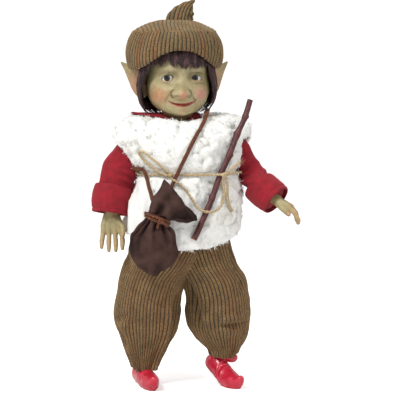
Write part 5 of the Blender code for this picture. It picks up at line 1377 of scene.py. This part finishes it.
trousers = {"ribWidth": 3.2, "perRib": 6, "ribHeight": 0.62, "rows": 84, "cloth": 1.6,
            "seatRibs": 74}
legs = {
    "right": {"rows": [(14.5, -44.8, 8, 10.3, 13.8), (20, -44.6, 7.5, 12.8, 14.4), (31, -43.5, 6, 18.5, 17.5),
                       (44, -42.5, 4, 24, 21), (57, -42.2, 2.5, 26.2, 23.5), (72, -40.8, 0, 26, 25),
                       (88, -36.2, -2.5, 27.6, 26.5), (102, -28, -6, 31.5, 27), (118, -21, -5, 33, 27.3)],
              "leg": [(-30, 1, 95.6), (-38, 4.5, 58), (-44.8, 10.3, 24)]},
    "left": {"rows": [(24, 18.2, 10.5, 10.8, 13.2), (29, 18.5, 10.5, 13.5, 14), (36, 16.5, 9.5, 20, 18),
                      (46, 14.5, 8, 24.3, 21), (57, 13.8, 6, 25.8, 23), (72, 13.2, 5, 25.6, 24),
                      (86, 9.5, 3, 26.5, 25.5), (99, 2, 2, 26.5, 26.5), (118, -4, 1, 27, 27)],
             "leg": [(0, 1, 95.6), (10, 6, 60), (18.2, 12, 29)]},
}


def legFolds(name, angle, z):
    # broad folds of the cloth, in mm outwards; angle is in degrees from the front towards +X
    a = np.degrees(np.arctan2(np.sin(angle), np.cos(angle)))[None] * np.ones_like(z)
    if name == "right":
        out = 0.4 * bump(a, -88, 26) * bump(z, 58, 9) - 2.6 * bump(a, -66, 16) * bump(z, 38, 6)
        out += 1.2 * bump(a, -40, 12) * bump(z, 46, 14)
        out += 1.5 * bump(a, 38 + 0.12 * (70 - z), 9) * smooth((84 - z) / 20)
        out -= 2.0 * bump(a, 62 + 0.1 * (70 - z), 13) * smooth((86 - z) / 20) * smooth((z - 22) / 14)
        out -= 1.3 * bump(z + 0.25 * a, 84, 4) * bump(a, -70, 24)
        out -= 1.2 * bump(z - 0.2 * a, 66, 3) * bump(a, -50, 22)
    else:
        out = (-1.5 * bump(z - 0.03 * a, 50.5, 1.8) * bump(a, 22, 26)
               + 1.3 * bump(z, 55.5, 4) * bump(a, 24, 28))
        out += 1.2 * bump(z, 45, 3.4) * bump(a, 16, 26)
        out -= 2.2 * bump(a + 0.5 * (z - 80), -50, 9) * smooth((98 - z) / 12) * smooth((z - 40) / 20)
        out += 1.3 * bump(a + 0.5 * (z - 80), -30, 11) * smooth((98 - z) / 12) * smooth((z - 40) / 20)
        out -= 1.2 * bump(a - 0.6 * (z - 95), 62, 8) * smooth((z - 72) / 12)
    return 2.1 * out


def makeTrousers():
    grids, ribs, yarns = [], [], []
    for name, part in legs.items():
        rowsNow = curve(part["rows"], np.linspace(0, 1, trousers["rows"]))
        girth = 2 * math.pi * (rowsNow[:, 3].max() + rowsNow[:, 4].max()) / 2
        number = int(girth / trousers["ribWidth"])
        count = number * trousers["perRib"]
        angle = np.linspace(0, 2 * math.pi, count, endpoint=False)
        z = rowsNow[:, :1] * np.ones((1, count))
        bottom = part["rows"][0][0]
        fade = np.exp(-(z - bottom) / 10)
        gather = (0.9 * np.cos(9 * angle) + 0.6 * np.cos(16 * angle + 1)) * fade
        gather += 0.5 * np.cos(7 * angle + 0.04 * z) * smooth((z - 84) / 20)
        drop = 2.0 * np.cos(angle) * smooth(1 - (z - bottom) / 14)
        out = gather + legFolds(name, angle, z)
        grid = np.stack([rowsNow[:, 1:2] + (rowsNow[:, 3:4] + out) * np.sin(angle),
                         rowsNow[:, 2:3] - (rowsNow[:, 4:5] + out) * np.cos(angle), z - drop], -1)
        grid += gridNormals(grid) * (0.55 * lumps(grid, 9, 31) + 0.25 * lumps(grid, 4, 32))[..., None]
        phase = angle / (2 * math.pi) * number * np.ones_like(z)
        rib = ribProfile(phase)
        grid += gridNormals(grid) * (trousers["ribHeight"] * (rib - 0.7))[..., None]
        inner = (grid - gridNormals(grid) * trousers["cloth"])[:24:2]
        hem = grid[0] - [0, 0, 0.5] - gridNormals(grid)[0] * 0.8
        whole = np.concatenate([inner[::-1][:-1], inner[:1] - [0, 0, 0.3], hem[None], grid])
        # the inside of each leg and the hem fold get lower rib values, so part of the painted groove shade
        # darkens them
        ribAll = np.concatenate([np.full((12, count), 0.35), rib[:1] * 0.5, rib])
        yarnAll = np.concatenate([np.zeros((12, count)), yarnOf(phase[:1], 3), yarnOf(phase, 3)])
        grids.append(whole)
        ribs.append(np.append(ribAll.ravel(), [0.3, 0.3]))
        yarns.append(np.append(yarnAll.ravel(), [0.0, 0.0]))
    points, faces = joined(grids)
    makeMesh("corduroy_trousers", points, faces, finishes["trousers"], "trousers",
             data={"rib": np.concatenate(ribs), "yarn": np.concatenate(yarns)})


def makeSeat():
    # the hips under the vest, a little inside the legs so that the legs lie over them
    rows = [(84, -14.5, 3, 12, 13), (88, -15, 4, 22, 18), (94, -16, 4, 31, 23), (103, -16.5, 3, 38, 26.5),
            (112, -16.5, 1.5, 40, 29), (122, -15.5, 0.5, 39, 29), (133, -13.5, 1, 37, 28.8),
            (146, -12.5, 1, 36, 27)]
    count = trousers["seatRibs"] * trousers["perRib"]
    angle = np.linspace(0, 2 * math.pi, count, endpoint=False)
    table = curve(rows, np.linspace(0, 1, 30))
    grid = []
    for z, cx, cy, a, b in table:
        dx, dy = turned(a * np.sin(angle), -b * np.cos(angle), trunkYaw)
        grid.append(np.stack([cx + dx, cy + dy, np.full(count, z)], -1))
    grid = np.array(grid)
    phase = angle / (2 * math.pi) * trousers["seatRibs"] * np.ones((30, 1))
    rib = ribProfile(phase)
    grid += gridNormals(grid) * (0.5 * lumps(grid, 9, 33) + trousers["ribHeight"] * (rib - 0.7))[..., None]
    loft("corduroy_seat", grid, finishes["trousers"], data={"rib": rib, "yarn": yarnOf(phase, 4)})


makeTrousers()
makeSeat()
print("trousers made")


# Shirt: brushed red flannel with wide rolled cuffs and a soft open collar

shirt = {"cloth": 1.1, "gap": 0.4, "cuffLength": 18.0, "cuffThickness": 1.5, "cuffReach": 2.5, "columns": 96}


def makeSleeve(name, seed):
    arm = arms[name]
    rings = 96
    t = np.linspace(0, 1, rings)
    grid = tubeGrid(evenly(arm["path"], rings), curve(arm["sleeve"], t)[:, 0], shirt["columns"])
    slanted = grid @ np.array([[0.8, 0, 0.35], [0, 0.8, 0.2], [-0.3, 0, 1.1]])
    folds = 4.0 * (0.35 - np.abs(lumps(slanted, 17, seed))) + 1.0 * lumps(slanted, 9, seed + 1)
    sign = 1 if name == "left" else -1
    inner = smooth(0.5 - sign * (grid[..., 0] - grid[..., 0].mean(1, keepdims=True)) / 14)
    folds += (0.8 * inner * np.cos(2 * math.pi * (t * 9 + 0.4))[:, None]
              * smooth(1 - abs(t - 0.5) / 0.35)[:, None])
    grid += gridNormals(grid) * (folds * smooth(t / 0.15)[:, None] * smooth((1 - t) / 0.2
                                                                            + 0.2)[:, None])[..., None]
    loft("shirt_sleeve_" + name, grid, finishes["flannel"], "sleeve_" + name)


def makeCuff(name, seed):
    arm = arms[name]
    line = evenly(arm["path"], 500)
    run = np.concatenate([[0], np.cumsum(np.linalg.norm(np.diff(line, axis=0), axis=1))])
    keep = run > run[-1] - shirt["cuffLength"]
    ahead = line[-1] - line[-2]
    end = line[-1] + ahead / np.linalg.norm(ahead) * shirt["cuffReach"]
    part = evenly(np.vstack([line[keep], end]), 60)
    unit = tubeGrid(part, 1.0, shirt["columns"]) - part[:, None]
    thick = shirt["cuffThickness"]
    profile = [(0.04, 0), (0.5, 0), (0.96, 0), (1.0, 0.5 * thick), (0.96, thick), (0.8, thick + 0.2),
               (0.5, thick + 0.5), (0.2, thick + 0.3), (0.04, thick), (0.0, 0.5 * thick), (0.04, 0)]
    rows = curve(profile, np.linspace(0, 1, 78))[:-1]
    place = np.clip(rows[:, 0], 0, 1) * 58.999
    i = place.astype(int)
    f = (place - i)[:, None]
    middle = lerp(part[i], part[i + 1], f)
    away = lerp(unit[i], unit[i + 1], f[..., None])
    start = run[keep][0] / run[-1]
    sizes = (curve(arm["sleeve"], lerp(start, 1, np.clip(rows[:, 0], 0, 1)))[:, 0] + 0.5 + shirt["gap"]
             + rows[:, 1])
    grid = middle[:, None] + away * sizes[:, None, None]
    outer = smooth((rows[:, 1] / thick - 0.3) / 0.5)[:, None]
    soft = 0.8 * lumps(grid, 11, seed) + 0.35 * lumps(grid, 5, seed + 1)
    soft -= 0.5 * bump(rows[:, 0], 0.86, 0.035)[:, None]           # a stitched edge
    grid += away * (soft * outer)[..., None]
    loft("shirt_cuff_" + name, grid, finishes["flannel"], "sleeve_cuff_" + name, loop=True)


def makeCollar():
    inside = headSpot["neckRadius"] + 2 * shirt["gap"] + 0.6
    foot = 207 + 3 * shirt["gap"] + shirt["cloth"]
    cloth = shirt["cloth"] + 0.5
    rings = []
    for side in np.linspace(-1, 1, 100):
        angle = math.pi + math.radians(150) * side
        rightward = smooth((0.3 - math.sin(angle)) / 0.6)
        front = smooth((math.cos(angle) + 0.4) / 1.3)
        wing = bump(abs(side), 0.6, 0.2)
        reach = inside + 4.2 + wing * lerp(2, 19.8, rightward)
        top = lerp(216.2, 213.6, front)
        tip = lerp(top, 218.2, wing * rightward) + 0.5 * math.sin(side * 9)
        profile = [(inside, foot), (inside, top - 0.6), (inside + 1.2, top + 0.4),
                   (lerp(inside, reach, 0.6), lerp(top, tip, 0.55)),
                   (reach, tip), (reach + 0.3, tip - cloth / 2), (reach, tip - cloth),
                   (inside + 2.2, top - 0.2 - cloth), (inside + cloth, top - 2.4), (inside + cloth, foot),
                   (inside, foot)]
        ring = curve(profile, np.linspace(0, 1, 45))[:-1]
        dx, dy = turned(ring[:, 0] * math.sin(angle), -ring[:, 0] * math.cos(angle), trunkYaw)
        rings.append(np.stack([dx, dy, ring[:, 1]], -1))
    middle = toHead([0, headSpot["neckBack"], 0])
    grid = np.array(rings) + middle
    grid[..., 2] += 0.5 * lumps(grid, 7, 44)
    loft("shirt_collar_soft", grid, finishes["flannel"], "shirt_collar")


def makeCopy(name, nodeName, finish, voxel, rounds):
    points, normals, faces = carved(nodeName, voxel, rounds)
    return makeMesh(name, points + normals * (0.25 * lumps(points, 6, 45))[:, None], faces, finish,
                    nodeName)


for name, seed in (("right", 46), ("left", 52)):
    makeSleeve(name, seed)
    makeCuff(name, seed + 3)
makeCollar()
makeCopy("shirt_trunk", "shirt_body", finishes["flannel"], 1.6, 2)
print("shirt made")


# Stuffed body under the clothes

for nodeName in ("stuffed_torso", "stuffed_arm_right", "stuffed_arm_left", "stuffed_leg_right",
                 "stuffed_leg_left"):
    made = makeCopy("calico_" + nodeName[8:], nodeName, finishes["calico"], 2.2, 3)
print("stuffed body made")


# Pouch: a round of suede gathered by a lace, hung on a lace strap

pouch = {"y": -47.0, "neck": (-32.8, 139.0), "neckWidth": 8.0, "neckDepth": 5.2, "neckTilt": 20.0,
         "flareLength": 22.0,
         "flareWidth": 20.0, "flareDepth": 6.0, "flareTilt": 52.0, "cloth": 1.6, "columns": 150}
bagRows = [(-35, 95, 2, 1.8), (-35, 98.5, 7.5, 3.8), (-35.5, 104, 13.5, 5.8), (-36, 111, 18.8, 7.4),
           (-37, 119, 18.4, 8),
           (-36.8, 126, 16.4, 7.6), (-36.2, 130.5, 12.6, 6.6)]
lace = {"width": 3.6, "thickness": 1.6, "strapWidth": 3.0, "strapThickness": 1.5}


def pouchRing(x, z, halfWidth, halfDepth, tilt, count=pouch["columns"]):
    turn = math.radians(tilt)
    angle = np.linspace(0, 2 * math.pi, count, endpoint=False)
    across = halfWidth * np.cos(angle)
    return np.stack([x + across * math.cos(turn), pouch["y"] + halfDepth * np.sin(angle),
                     z - across * math.sin(turn)], -1)


def makePouch():
    nx, nz = pouch["neck"]
    turn = math.radians(pouch["flareTilt"])
    wide, deep, neck = pouch["flareWidth"], pouch["flareDepth"], pouch["neckWidth"]

    def flare(t, a, b):
        tilt = lerp(pouch["neckTilt"], pouch["flareTilt"], smooth((t - 0.15) * 2))
        along = pouch["flareLength"] * t
        return (nx + along * math.sin(turn), nz + along * math.cos(turn), a, b, tilt)

    rows = [(x, z, a, b, 0) for x, z, a, b in bagRows]
    rows += [(nx - 1.0, nz - 2.9, neck + 0.4, pouch["neckDepth"] + 0.2, pouch["neckTilt"]),
             (nx + 0.9, nz + 2.5, neck + 0.2, pouch["neckDepth"] + 0.1, pouch["neckTilt"]),
             flare(0.22, neck + 1.6, deep * 0.92), flare(0.42, lerp(neck, wide, 0.42), deep * 0.92),
             flare(0.7, lerp(neck, wide, 0.75), deep * 0.96), flare(1.0, wide, deep),
             flare(0.98, wide - pouch["cloth"], deep - pouch["cloth"]),
             flare(0.72, lerp(neck, wide, 0.62), deep * 0.45),
             flare(0.6, neck, deep * 0.2)]
    table = curve(rows, np.linspace(0, 1, 160))
    last = len(rows) - 1
    place = np.linspace(0, last, 160)[:, None]
    grid = np.array([pouchRing(*row) for row in table])
    angle = np.linspace(0, 2 * math.pi, pouch["columns"], endpoint=False)[None]
    below = smooth((place - 2.5) / 4.5) * smooth((7.6 - place) / 0.7)
    above = smooth((place - 7.6) / 1.0)
    gathers = (1.8 * np.cos(11 * angle + 0.8 + 1.1 * np.sin(2 * angle)) + 0.6 * np.cos(19 * angle)) * below
    waves = ((1.5 * np.cos(5 * angle + 0.6) + 0.9 * np.cos(9 * angle + 2)) * above
             * smooth((12.4 - place) / 1.5 + 0.3))
    creases = (4.2 * (0.3 - np.abs(lumps(grid * [1, 0.6, 0.55], 12, 61)))
               + 0.7 * lumps(grid * [1, 1, 0.5], 4.5, 62))
    height = gathers * 0.8 + waves * 0.75 + creases * (1 - 0.6 * bump(place, 7.6, 0.7))
    normals = gridNormals(grid)
    outward = grid - grid.mean(1, keepdims=True)
    sign = np.sign((normals * outward).sum(-1).mean(1))[:, None, None]
    grid = grid + normals * sign * height[..., None] * smooth(place / 0.8)[..., None]
    # the fold height is stored for the suede's painted highlight and shade
    loft("suede_pouch", grid, finishes["suede"], "pouch",
         data={"creaseShading": np.clip(0.5 + 0.3 * height, 0, 1)})


def bandGrid(path, outward, width, thickness, count=20):
    # a flat lace with rounded edges, its broad side facing outward
    ahead = np.gradient(path, axis=0)
    ahead /= np.linalg.norm(ahead, axis=1, keepdims=True)
    up = outward - ahead * (outward * ahead).sum(1, keepdims=True)
    up /= np.linalg.norm(up, axis=1, keepdims=True)
    side = np.cross(ahead, up)
    angle = np.linspace(0, 2 * math.pi, count, endpoint=False)
    across = np.sign(np.cos(angle)) * np.abs(np.cos(angle)) ** 0.6 * width / 2
    high = np.sign(np.sin(angle)) * np.abs(np.sin(angle)) ** 0.6 * thickness / 2
    return path[:, None] + side[:, None] * across[None, :, None] + up[:, None] * high[None, :, None]


def makeLaceTie():
    nx, nz = pouch["neck"]
    stand = lace["thickness"] * 0.65 + 2 * shirt["gap"]
    middle = np.array([nx, pouch["y"], nz])
    grids = []
    for lift, slant in ((-0.95, 0.5), (0.95, -0.5)):
        ring = pouchRing(nx, nz, pouch["neckWidth"] + stand, pouch["neckDepth"] + stand, pouch["neckTilt"],
                         97)
        ring = np.vstack([ring, ring[:1]])
        ring[:, 2] += lift + slant * np.sin(np.linspace(0, 2 * math.pi, 98))
        grids.append(bandGrid(ring, ring - middle, 2.1, 1.5))
    front = middle + [3.0, -pouch["neckDepth"] - stand - 0.5, -1.0]
    for bend, tip in (((2.6, -0.6, -2.0), (5.2, 0.2, -4.6)), ((-2.2, -0.4, -2.6), (-3.0, 0.6, -6.0))):
        path = evenly([front, front + np.array(bend), front + np.array(tip)], 16)
        grids.append(bandGrid(path, np.tile([0.2, -1.0, 0.3], (16, 1)), 1.9, 1.0, 14))
    turn = np.linspace(0, 2 * math.pi, 28)
    knot = np.stack([np.cos(turn) * 1.3, np.sin(turn) * 0.7, np.sin(turn) * 1.3], -1)
    grids.append(tubeGrid(front + knot, 0.95, 10))
    points, faces = joined(grids)
    points = points + 0.12 * np.stack([lumps(points, 1.6, s) for s in (63, 64, 65)], -1)
    makeMesh("pouch_tie", points, faces, finishes["lace"], "pouch_lace_tie")


def strapPath():
    down = ((0.6, 207.4, 2.0), (-3.4, 201.0, 1.7), (-8.6, 191.0, 1.6), (-14.8, 178.0, 1.5),
            (-18.2, 171.0, 2.5),
            (-21.6, 163.6, 1.4), (-25.6, 155.0, 1.4), (-28.6, 148.6, 2.6), (-30.2, 144.1, 3.3))
    up = ((-34.6, 144.4, 3.6), (-36.4, 151.0, 2.4), (-39.8, 162.0, 1.4), (-41.2, 167.0, 1.5),
          (-42.4, 171.0, 2.5),
          (-44.2, 174.0, 2.0))
    path = [onFleece(*row) for row in up]
    for k in range(13):
        t = k / 12
        point = onVest(lerp(-66, -203, t), lerp(174.7, 206.0, 0.9 * smooth((t - 0.35) / 0.65) + 0.1 * t), 3.2)
        path.append(clearOfArms(point, shirt["gap"] + 0.8 * lace["strapThickness"]))
    for x, z, off, rise in ((4.0, 212.0, 3.2, 2.6), (5.0, 214.9, 1.2, 3.4)):
        path.append(np.array([x, vestDepth(x, z, True) + off, z + rise]))
    path.append(np.array([5.8, 3.5, 219.0]))
    for x, z, off, rise in ((5.0, 214.9, 0.8, 3.0), (3.6, 212.0, 2.2, 1.8)):
        path.append(np.array([x, vestDepth(x, z) - off, z + rise]))
    return path + [onFleece(*row) for row in down]


def makeStrap():
    path = evenly(strapPath(), 440)
    over = smooth((path[:, 2] - 194) / 8)[:, None]
    radial = np.stack([np.zeros(len(path)), path[:, 1] - 1, path[:, 2] - 199], -1)
    radial /= np.linalg.norm(radial, axis=1, keepdims=True)
    outward = lerp(np.array([fromTrunk(point) for point in path]), radial, over)
    grid = bandGrid(path, outward, lace["strapWidth"], lace["strapThickness"], 14)
    grid += 0.16 * np.stack([lumps(grid, 2.2, s) for s in (66, 67, 68)], -1)
    loft("lace_strap", grid, finishes["lace"], "pouch_strap")


makePouch()
makeLaceTie()
makeStrap()
print("pouch made")


# Hands and boots: smooth bodies swept from balls of resin

def ballBody(chains, voxel, rounds):
    work = bmesh.new()
    for chain in chains:
        for (p, rp), (q, rq) in zip(chain, chain[1:]):
            p, q = np.array(p, float), np.array(q, float)
            steps = max(2, int(np.linalg.norm(q - p) / (0.3 * min(rp, rq))))
            for t in np.linspace(0, 1, steps + 1):
                bmesh.ops.create_icosphere(work, subdivisions=3, radius=lerp(rp, rq, t) * mm,
                                           matrix=Matrix.Translation(put(lerp(p, q, t))))
    mesh = bpy.data.meshes.new("balls")
    work.to_mesh(mesh)
    work.free()
    item = bpy.data.objects.new("balls", mesh)
    bpy.context.collection.objects.link(item)
    remesh = item.modifiers.new("remesh", "REMESH")
    remesh.mode = "VOXEL"
    remesh.voxel_size = voxel * mm
    soften = item.modifiers.new("soften", "SMOOTH")
    soften.factor, soften.iterations = 0.5, rounds
    return takenPoints(item)


palm = {"length": 14.0, "width": 18.5, "finger": 2.1, "fingerLength": 15.5, "stump": 7.0}


def unitOf(v):
    v = np.array(v, float)
    return v / np.linalg.norm(v)


def makeHand(name, wrist, down, palmOut, thumbSide, curls):
    down = unitOf(down)
    across = unitOf(np.array(thumbSide) - down * (down @ np.array(thumbSide)))
    front = np.cross(down, across)
    if front @ np.array(palmOut) < 0:
        front = -front
    r, long0, half = palm["finger"], palm["fingerLength"], palm["width"] / 2

    def place(d, a, f):
        return np.array(wrist) + down * d + across * a + front * f

    chains = [[(place(-palm["stump"], 0, 0), 4.4), (place(2, 0, 0), 4.2)]]
    tips, joints = [], []
    for i, (curl, reach) in enumerate(zip(curls, (0.80, 0.97, 1.0, 0.94))):
        a = lerp(-1, 1, i / 3) * (half - r)
        long = long0 / 2 * reach
        knuckle = place(palm["length"] * 0.94, a, 0.2)
        middle = place(palm["length"] * 0.94 + long * math.cos(curl), a * 1.16, long * math.sin(curl))
        way = down * math.cos(2 * curl) + front * math.sin(2 * curl)
        tip = middle + way * (long * 0.92)
        chains.append([(place(0, a * 0.5, 0), 3.2), (place(palm["length"] * 0.5, a * 0.85, 0.3), 2.9),
                       (knuckle, r * 1.08)])
        chains.append([(knuckle, r * 1.02), (lerp(knuckle, middle, 0.55), r * 0.9), (middle, r * 0.97),
                       (lerp(middle, tip, 0.6), r * 0.82), (tip, r * 0.7)])
        back = -front * math.cos(2 * curl) + down * math.sin(2 * curl)
        tips.append((tip, way, back, r * 0.7))
        joints += [knuckle - front * r, middle - front * r * 0.9, lerp(middle, tip, 0.55) - front * r * 0.8]
    thumb = [place(3, half - 5, 1.2), place(10, half + 0.2, 3.2), place(16.5, half + 0.6, 5.2)]
    chains.append([(thumb[0], 3.2), (thumb[1], 2.3), (lerp(thumb[1], thumb[2], 0.6), 2.1), (thumb[2], 1.7)])
    tips.append((thumb[2], unitOf(thumb[2] - thumb[1]), unitOf(across - front * 0.4), 1.7))
    points, normals, faces = ballBody(chains, 0.46, 4)
    tone = {key: np.array(linear(value)[:3]) for key, value in skinTones.items()}
    run = (points - np.array(wrist)) @ down
    flush = smooth((run - 7) / 16)[:, None]
    paint = tone["base"] * (1 - 0.28 * flush) + tone["blush"] * 0.28 * flush
    height = 0.12 * lumps(points, 2.6, 71)
    for joint in joints:
        near = np.exp(-(np.linalg.norm(points - joint, axis=1) / 1.7) ** 2)
        along = (points - joint) @ down
        height += near * (0.16 - 0.34 * np.exp(-(along / 0.33) ** 2))
        paint = paint * (1 - 0.35 * near[:, None]) + tone["blush"] * 0.35 * near[:, None]
    for tip, way, back, size in tips:
        local = points - (tip + back * size * 0.8 - way * 0.2)
        side = np.cross(way, back)
        reach = np.hypot((local @ way) / 1.75, (local @ side) / 1.25)
        facing = smooth(((normals @ back) - 0.1) / 0.4) * (np.abs(local @ back) < 2)
        nail = smooth((1.05 - reach) / 0.18) * facing
        rim = np.exp(-((reach - 1.12) / 0.14) ** 2) * facing
        height += 0.16 * nail - 0.2 * rim
        paint = paint * (1 - nail[:, None]) + np.array(linear("#c9a183")[:3]) * nail[:, None]
        # painted shade in the groove round each nail
        paint = paint * (1 - 0.6 * rim[:, None]) + np.array(linear("#6a4632")[:3]) * 0.6 * rim[:, None]
    # painted shade in the dents: the creases at the finger joints and round the nails
    dentShade = smooth((-0.15 - height) / 0.3)[:, None]
    paint = paint * (1 - 0.4 * dentShade) + tone["shade"] * 0.4 * dentShade
    makeMesh(name + "_painted", points + normals * height[:, None], faces, finishes["resin"],
             name,
             data={"paint": paint})


boots = {"width": 17.0}


def makeBoot(name, spot, yaw, pitch, legFoot, lobeSize, seed):
    half = boots["width"] / 2
    ahead = np.array([math.sin(math.radians(yaw)), -math.cos(math.radians(yaw)), 0])
    side = np.array([math.cos(math.radians(yaw)), math.sin(math.radians(yaw)), 0])
    tilt, pivot = math.radians(pitch), 10.0

    def foot(s, z):
        run = s - pivot
        level = pivot + run * math.cos(tilt) + z * math.sin(tilt) * 0.4
        return np.array([spot[0], spot[1], z * math.cos(tilt) - min(run, 0) * math.sin(tilt)]) + ahead * level

    top = np.array(legFoot) - [0, 0, 0.4]
    chains = [[(foot(-12.5, 6.4), half * 0.75), (foot(-4, 6.2), half * 0.73), (foot(7, 5.6), half * 0.80),
               (foot(16, 5.2), half * 0.72), (foot(22, 4.8), half * 0.5), (foot(26, 7.0), half * 0.34),
               (foot(27.5, 9.6), half * 0.22)],
              [(foot(-10, 12), half * 0.66), (foot(0, 6.7), half * 0.62), (foot(10, 6.6), half * 0.62)],
              [(foot(-11, 8), half * 0.74), (top - [0, 0, 4], half * 0.76), (top - [0, 0, 1.5], half * 0.74)]]
    if lobeSize:
        collar = []
        for angle in np.linspace(0, 2 * math.pi, 25):
            lobe = lobeSize * bump(math.sin(angle), 0.8, 0.45)
            collar.append((top + [(half * 0.72 + lobe) * math.sin(angle), -half * 0.72 * math.cos(angle),
                                  -7 - 0.6 * lobe], 1.8))
        chains.append(collar)
    points, normals, faces = ballBody(chains, 0.62, 9)
    local = points - [spot[0], spot[1], 0]
    s, w = local @ ahead, local @ side
    upper = smooth((points[:, 2] - 4.5) / 3)
    creases = 0
    for at, slant, depth in ((3.5, 0.25, 0.7), (6.6, -0.2, 0.8), (9.8, 0.3, 0.55), (12.6, -0.1, 0.45)):
        creases = creases - depth * bump(s + slant * w - at * math.cos(tilt), 0, 0.75)
    seam = (-0.35 * bump(points[:, 2] - 1.9 - 0.12 * (s - 8) * (pitch > 0), 0, 0.35)
            * smooth((np.abs(w) - 3) / 2))
    height = 1.1 + (0.3 + creases + 0.35 * lumps(points, 5.5, seed)) * upper + seam
    moved = points + normals * height[:, None]
    moved[:, 2] = np.where(moved[:, 2] < 0.6, 0.0, moved[:, 2])
    makeMesh(name + "_enamelled", moved, faces, finishes["enamel"], name)


makeHand("hand_right", (-69.6, -10.5, 137), (0.05, -0.25, -1), (0.3, -1, 0), (1, -0.2, 0),
         (0.16, 0.10, 0.10, 0.14))
makeHand("hand_left", (58.0, -12.7, 150.5), (0.84, -0.22, -0.42), (-0.3, -0.4, -0.8), (-0.2, -0.9, 0.1),
         (0.5, 0.45, 0.4, 0.3))
makeBoot("boot_right", (-44.3, 1.5), 17, 0, (-44.8, 10.3, 24), 0, 81)
makeBoot("boot_left", (16.4, 6.0), 33, 27, (18.2, 12, 29), 3.4, 82)
print("hands and boots made")
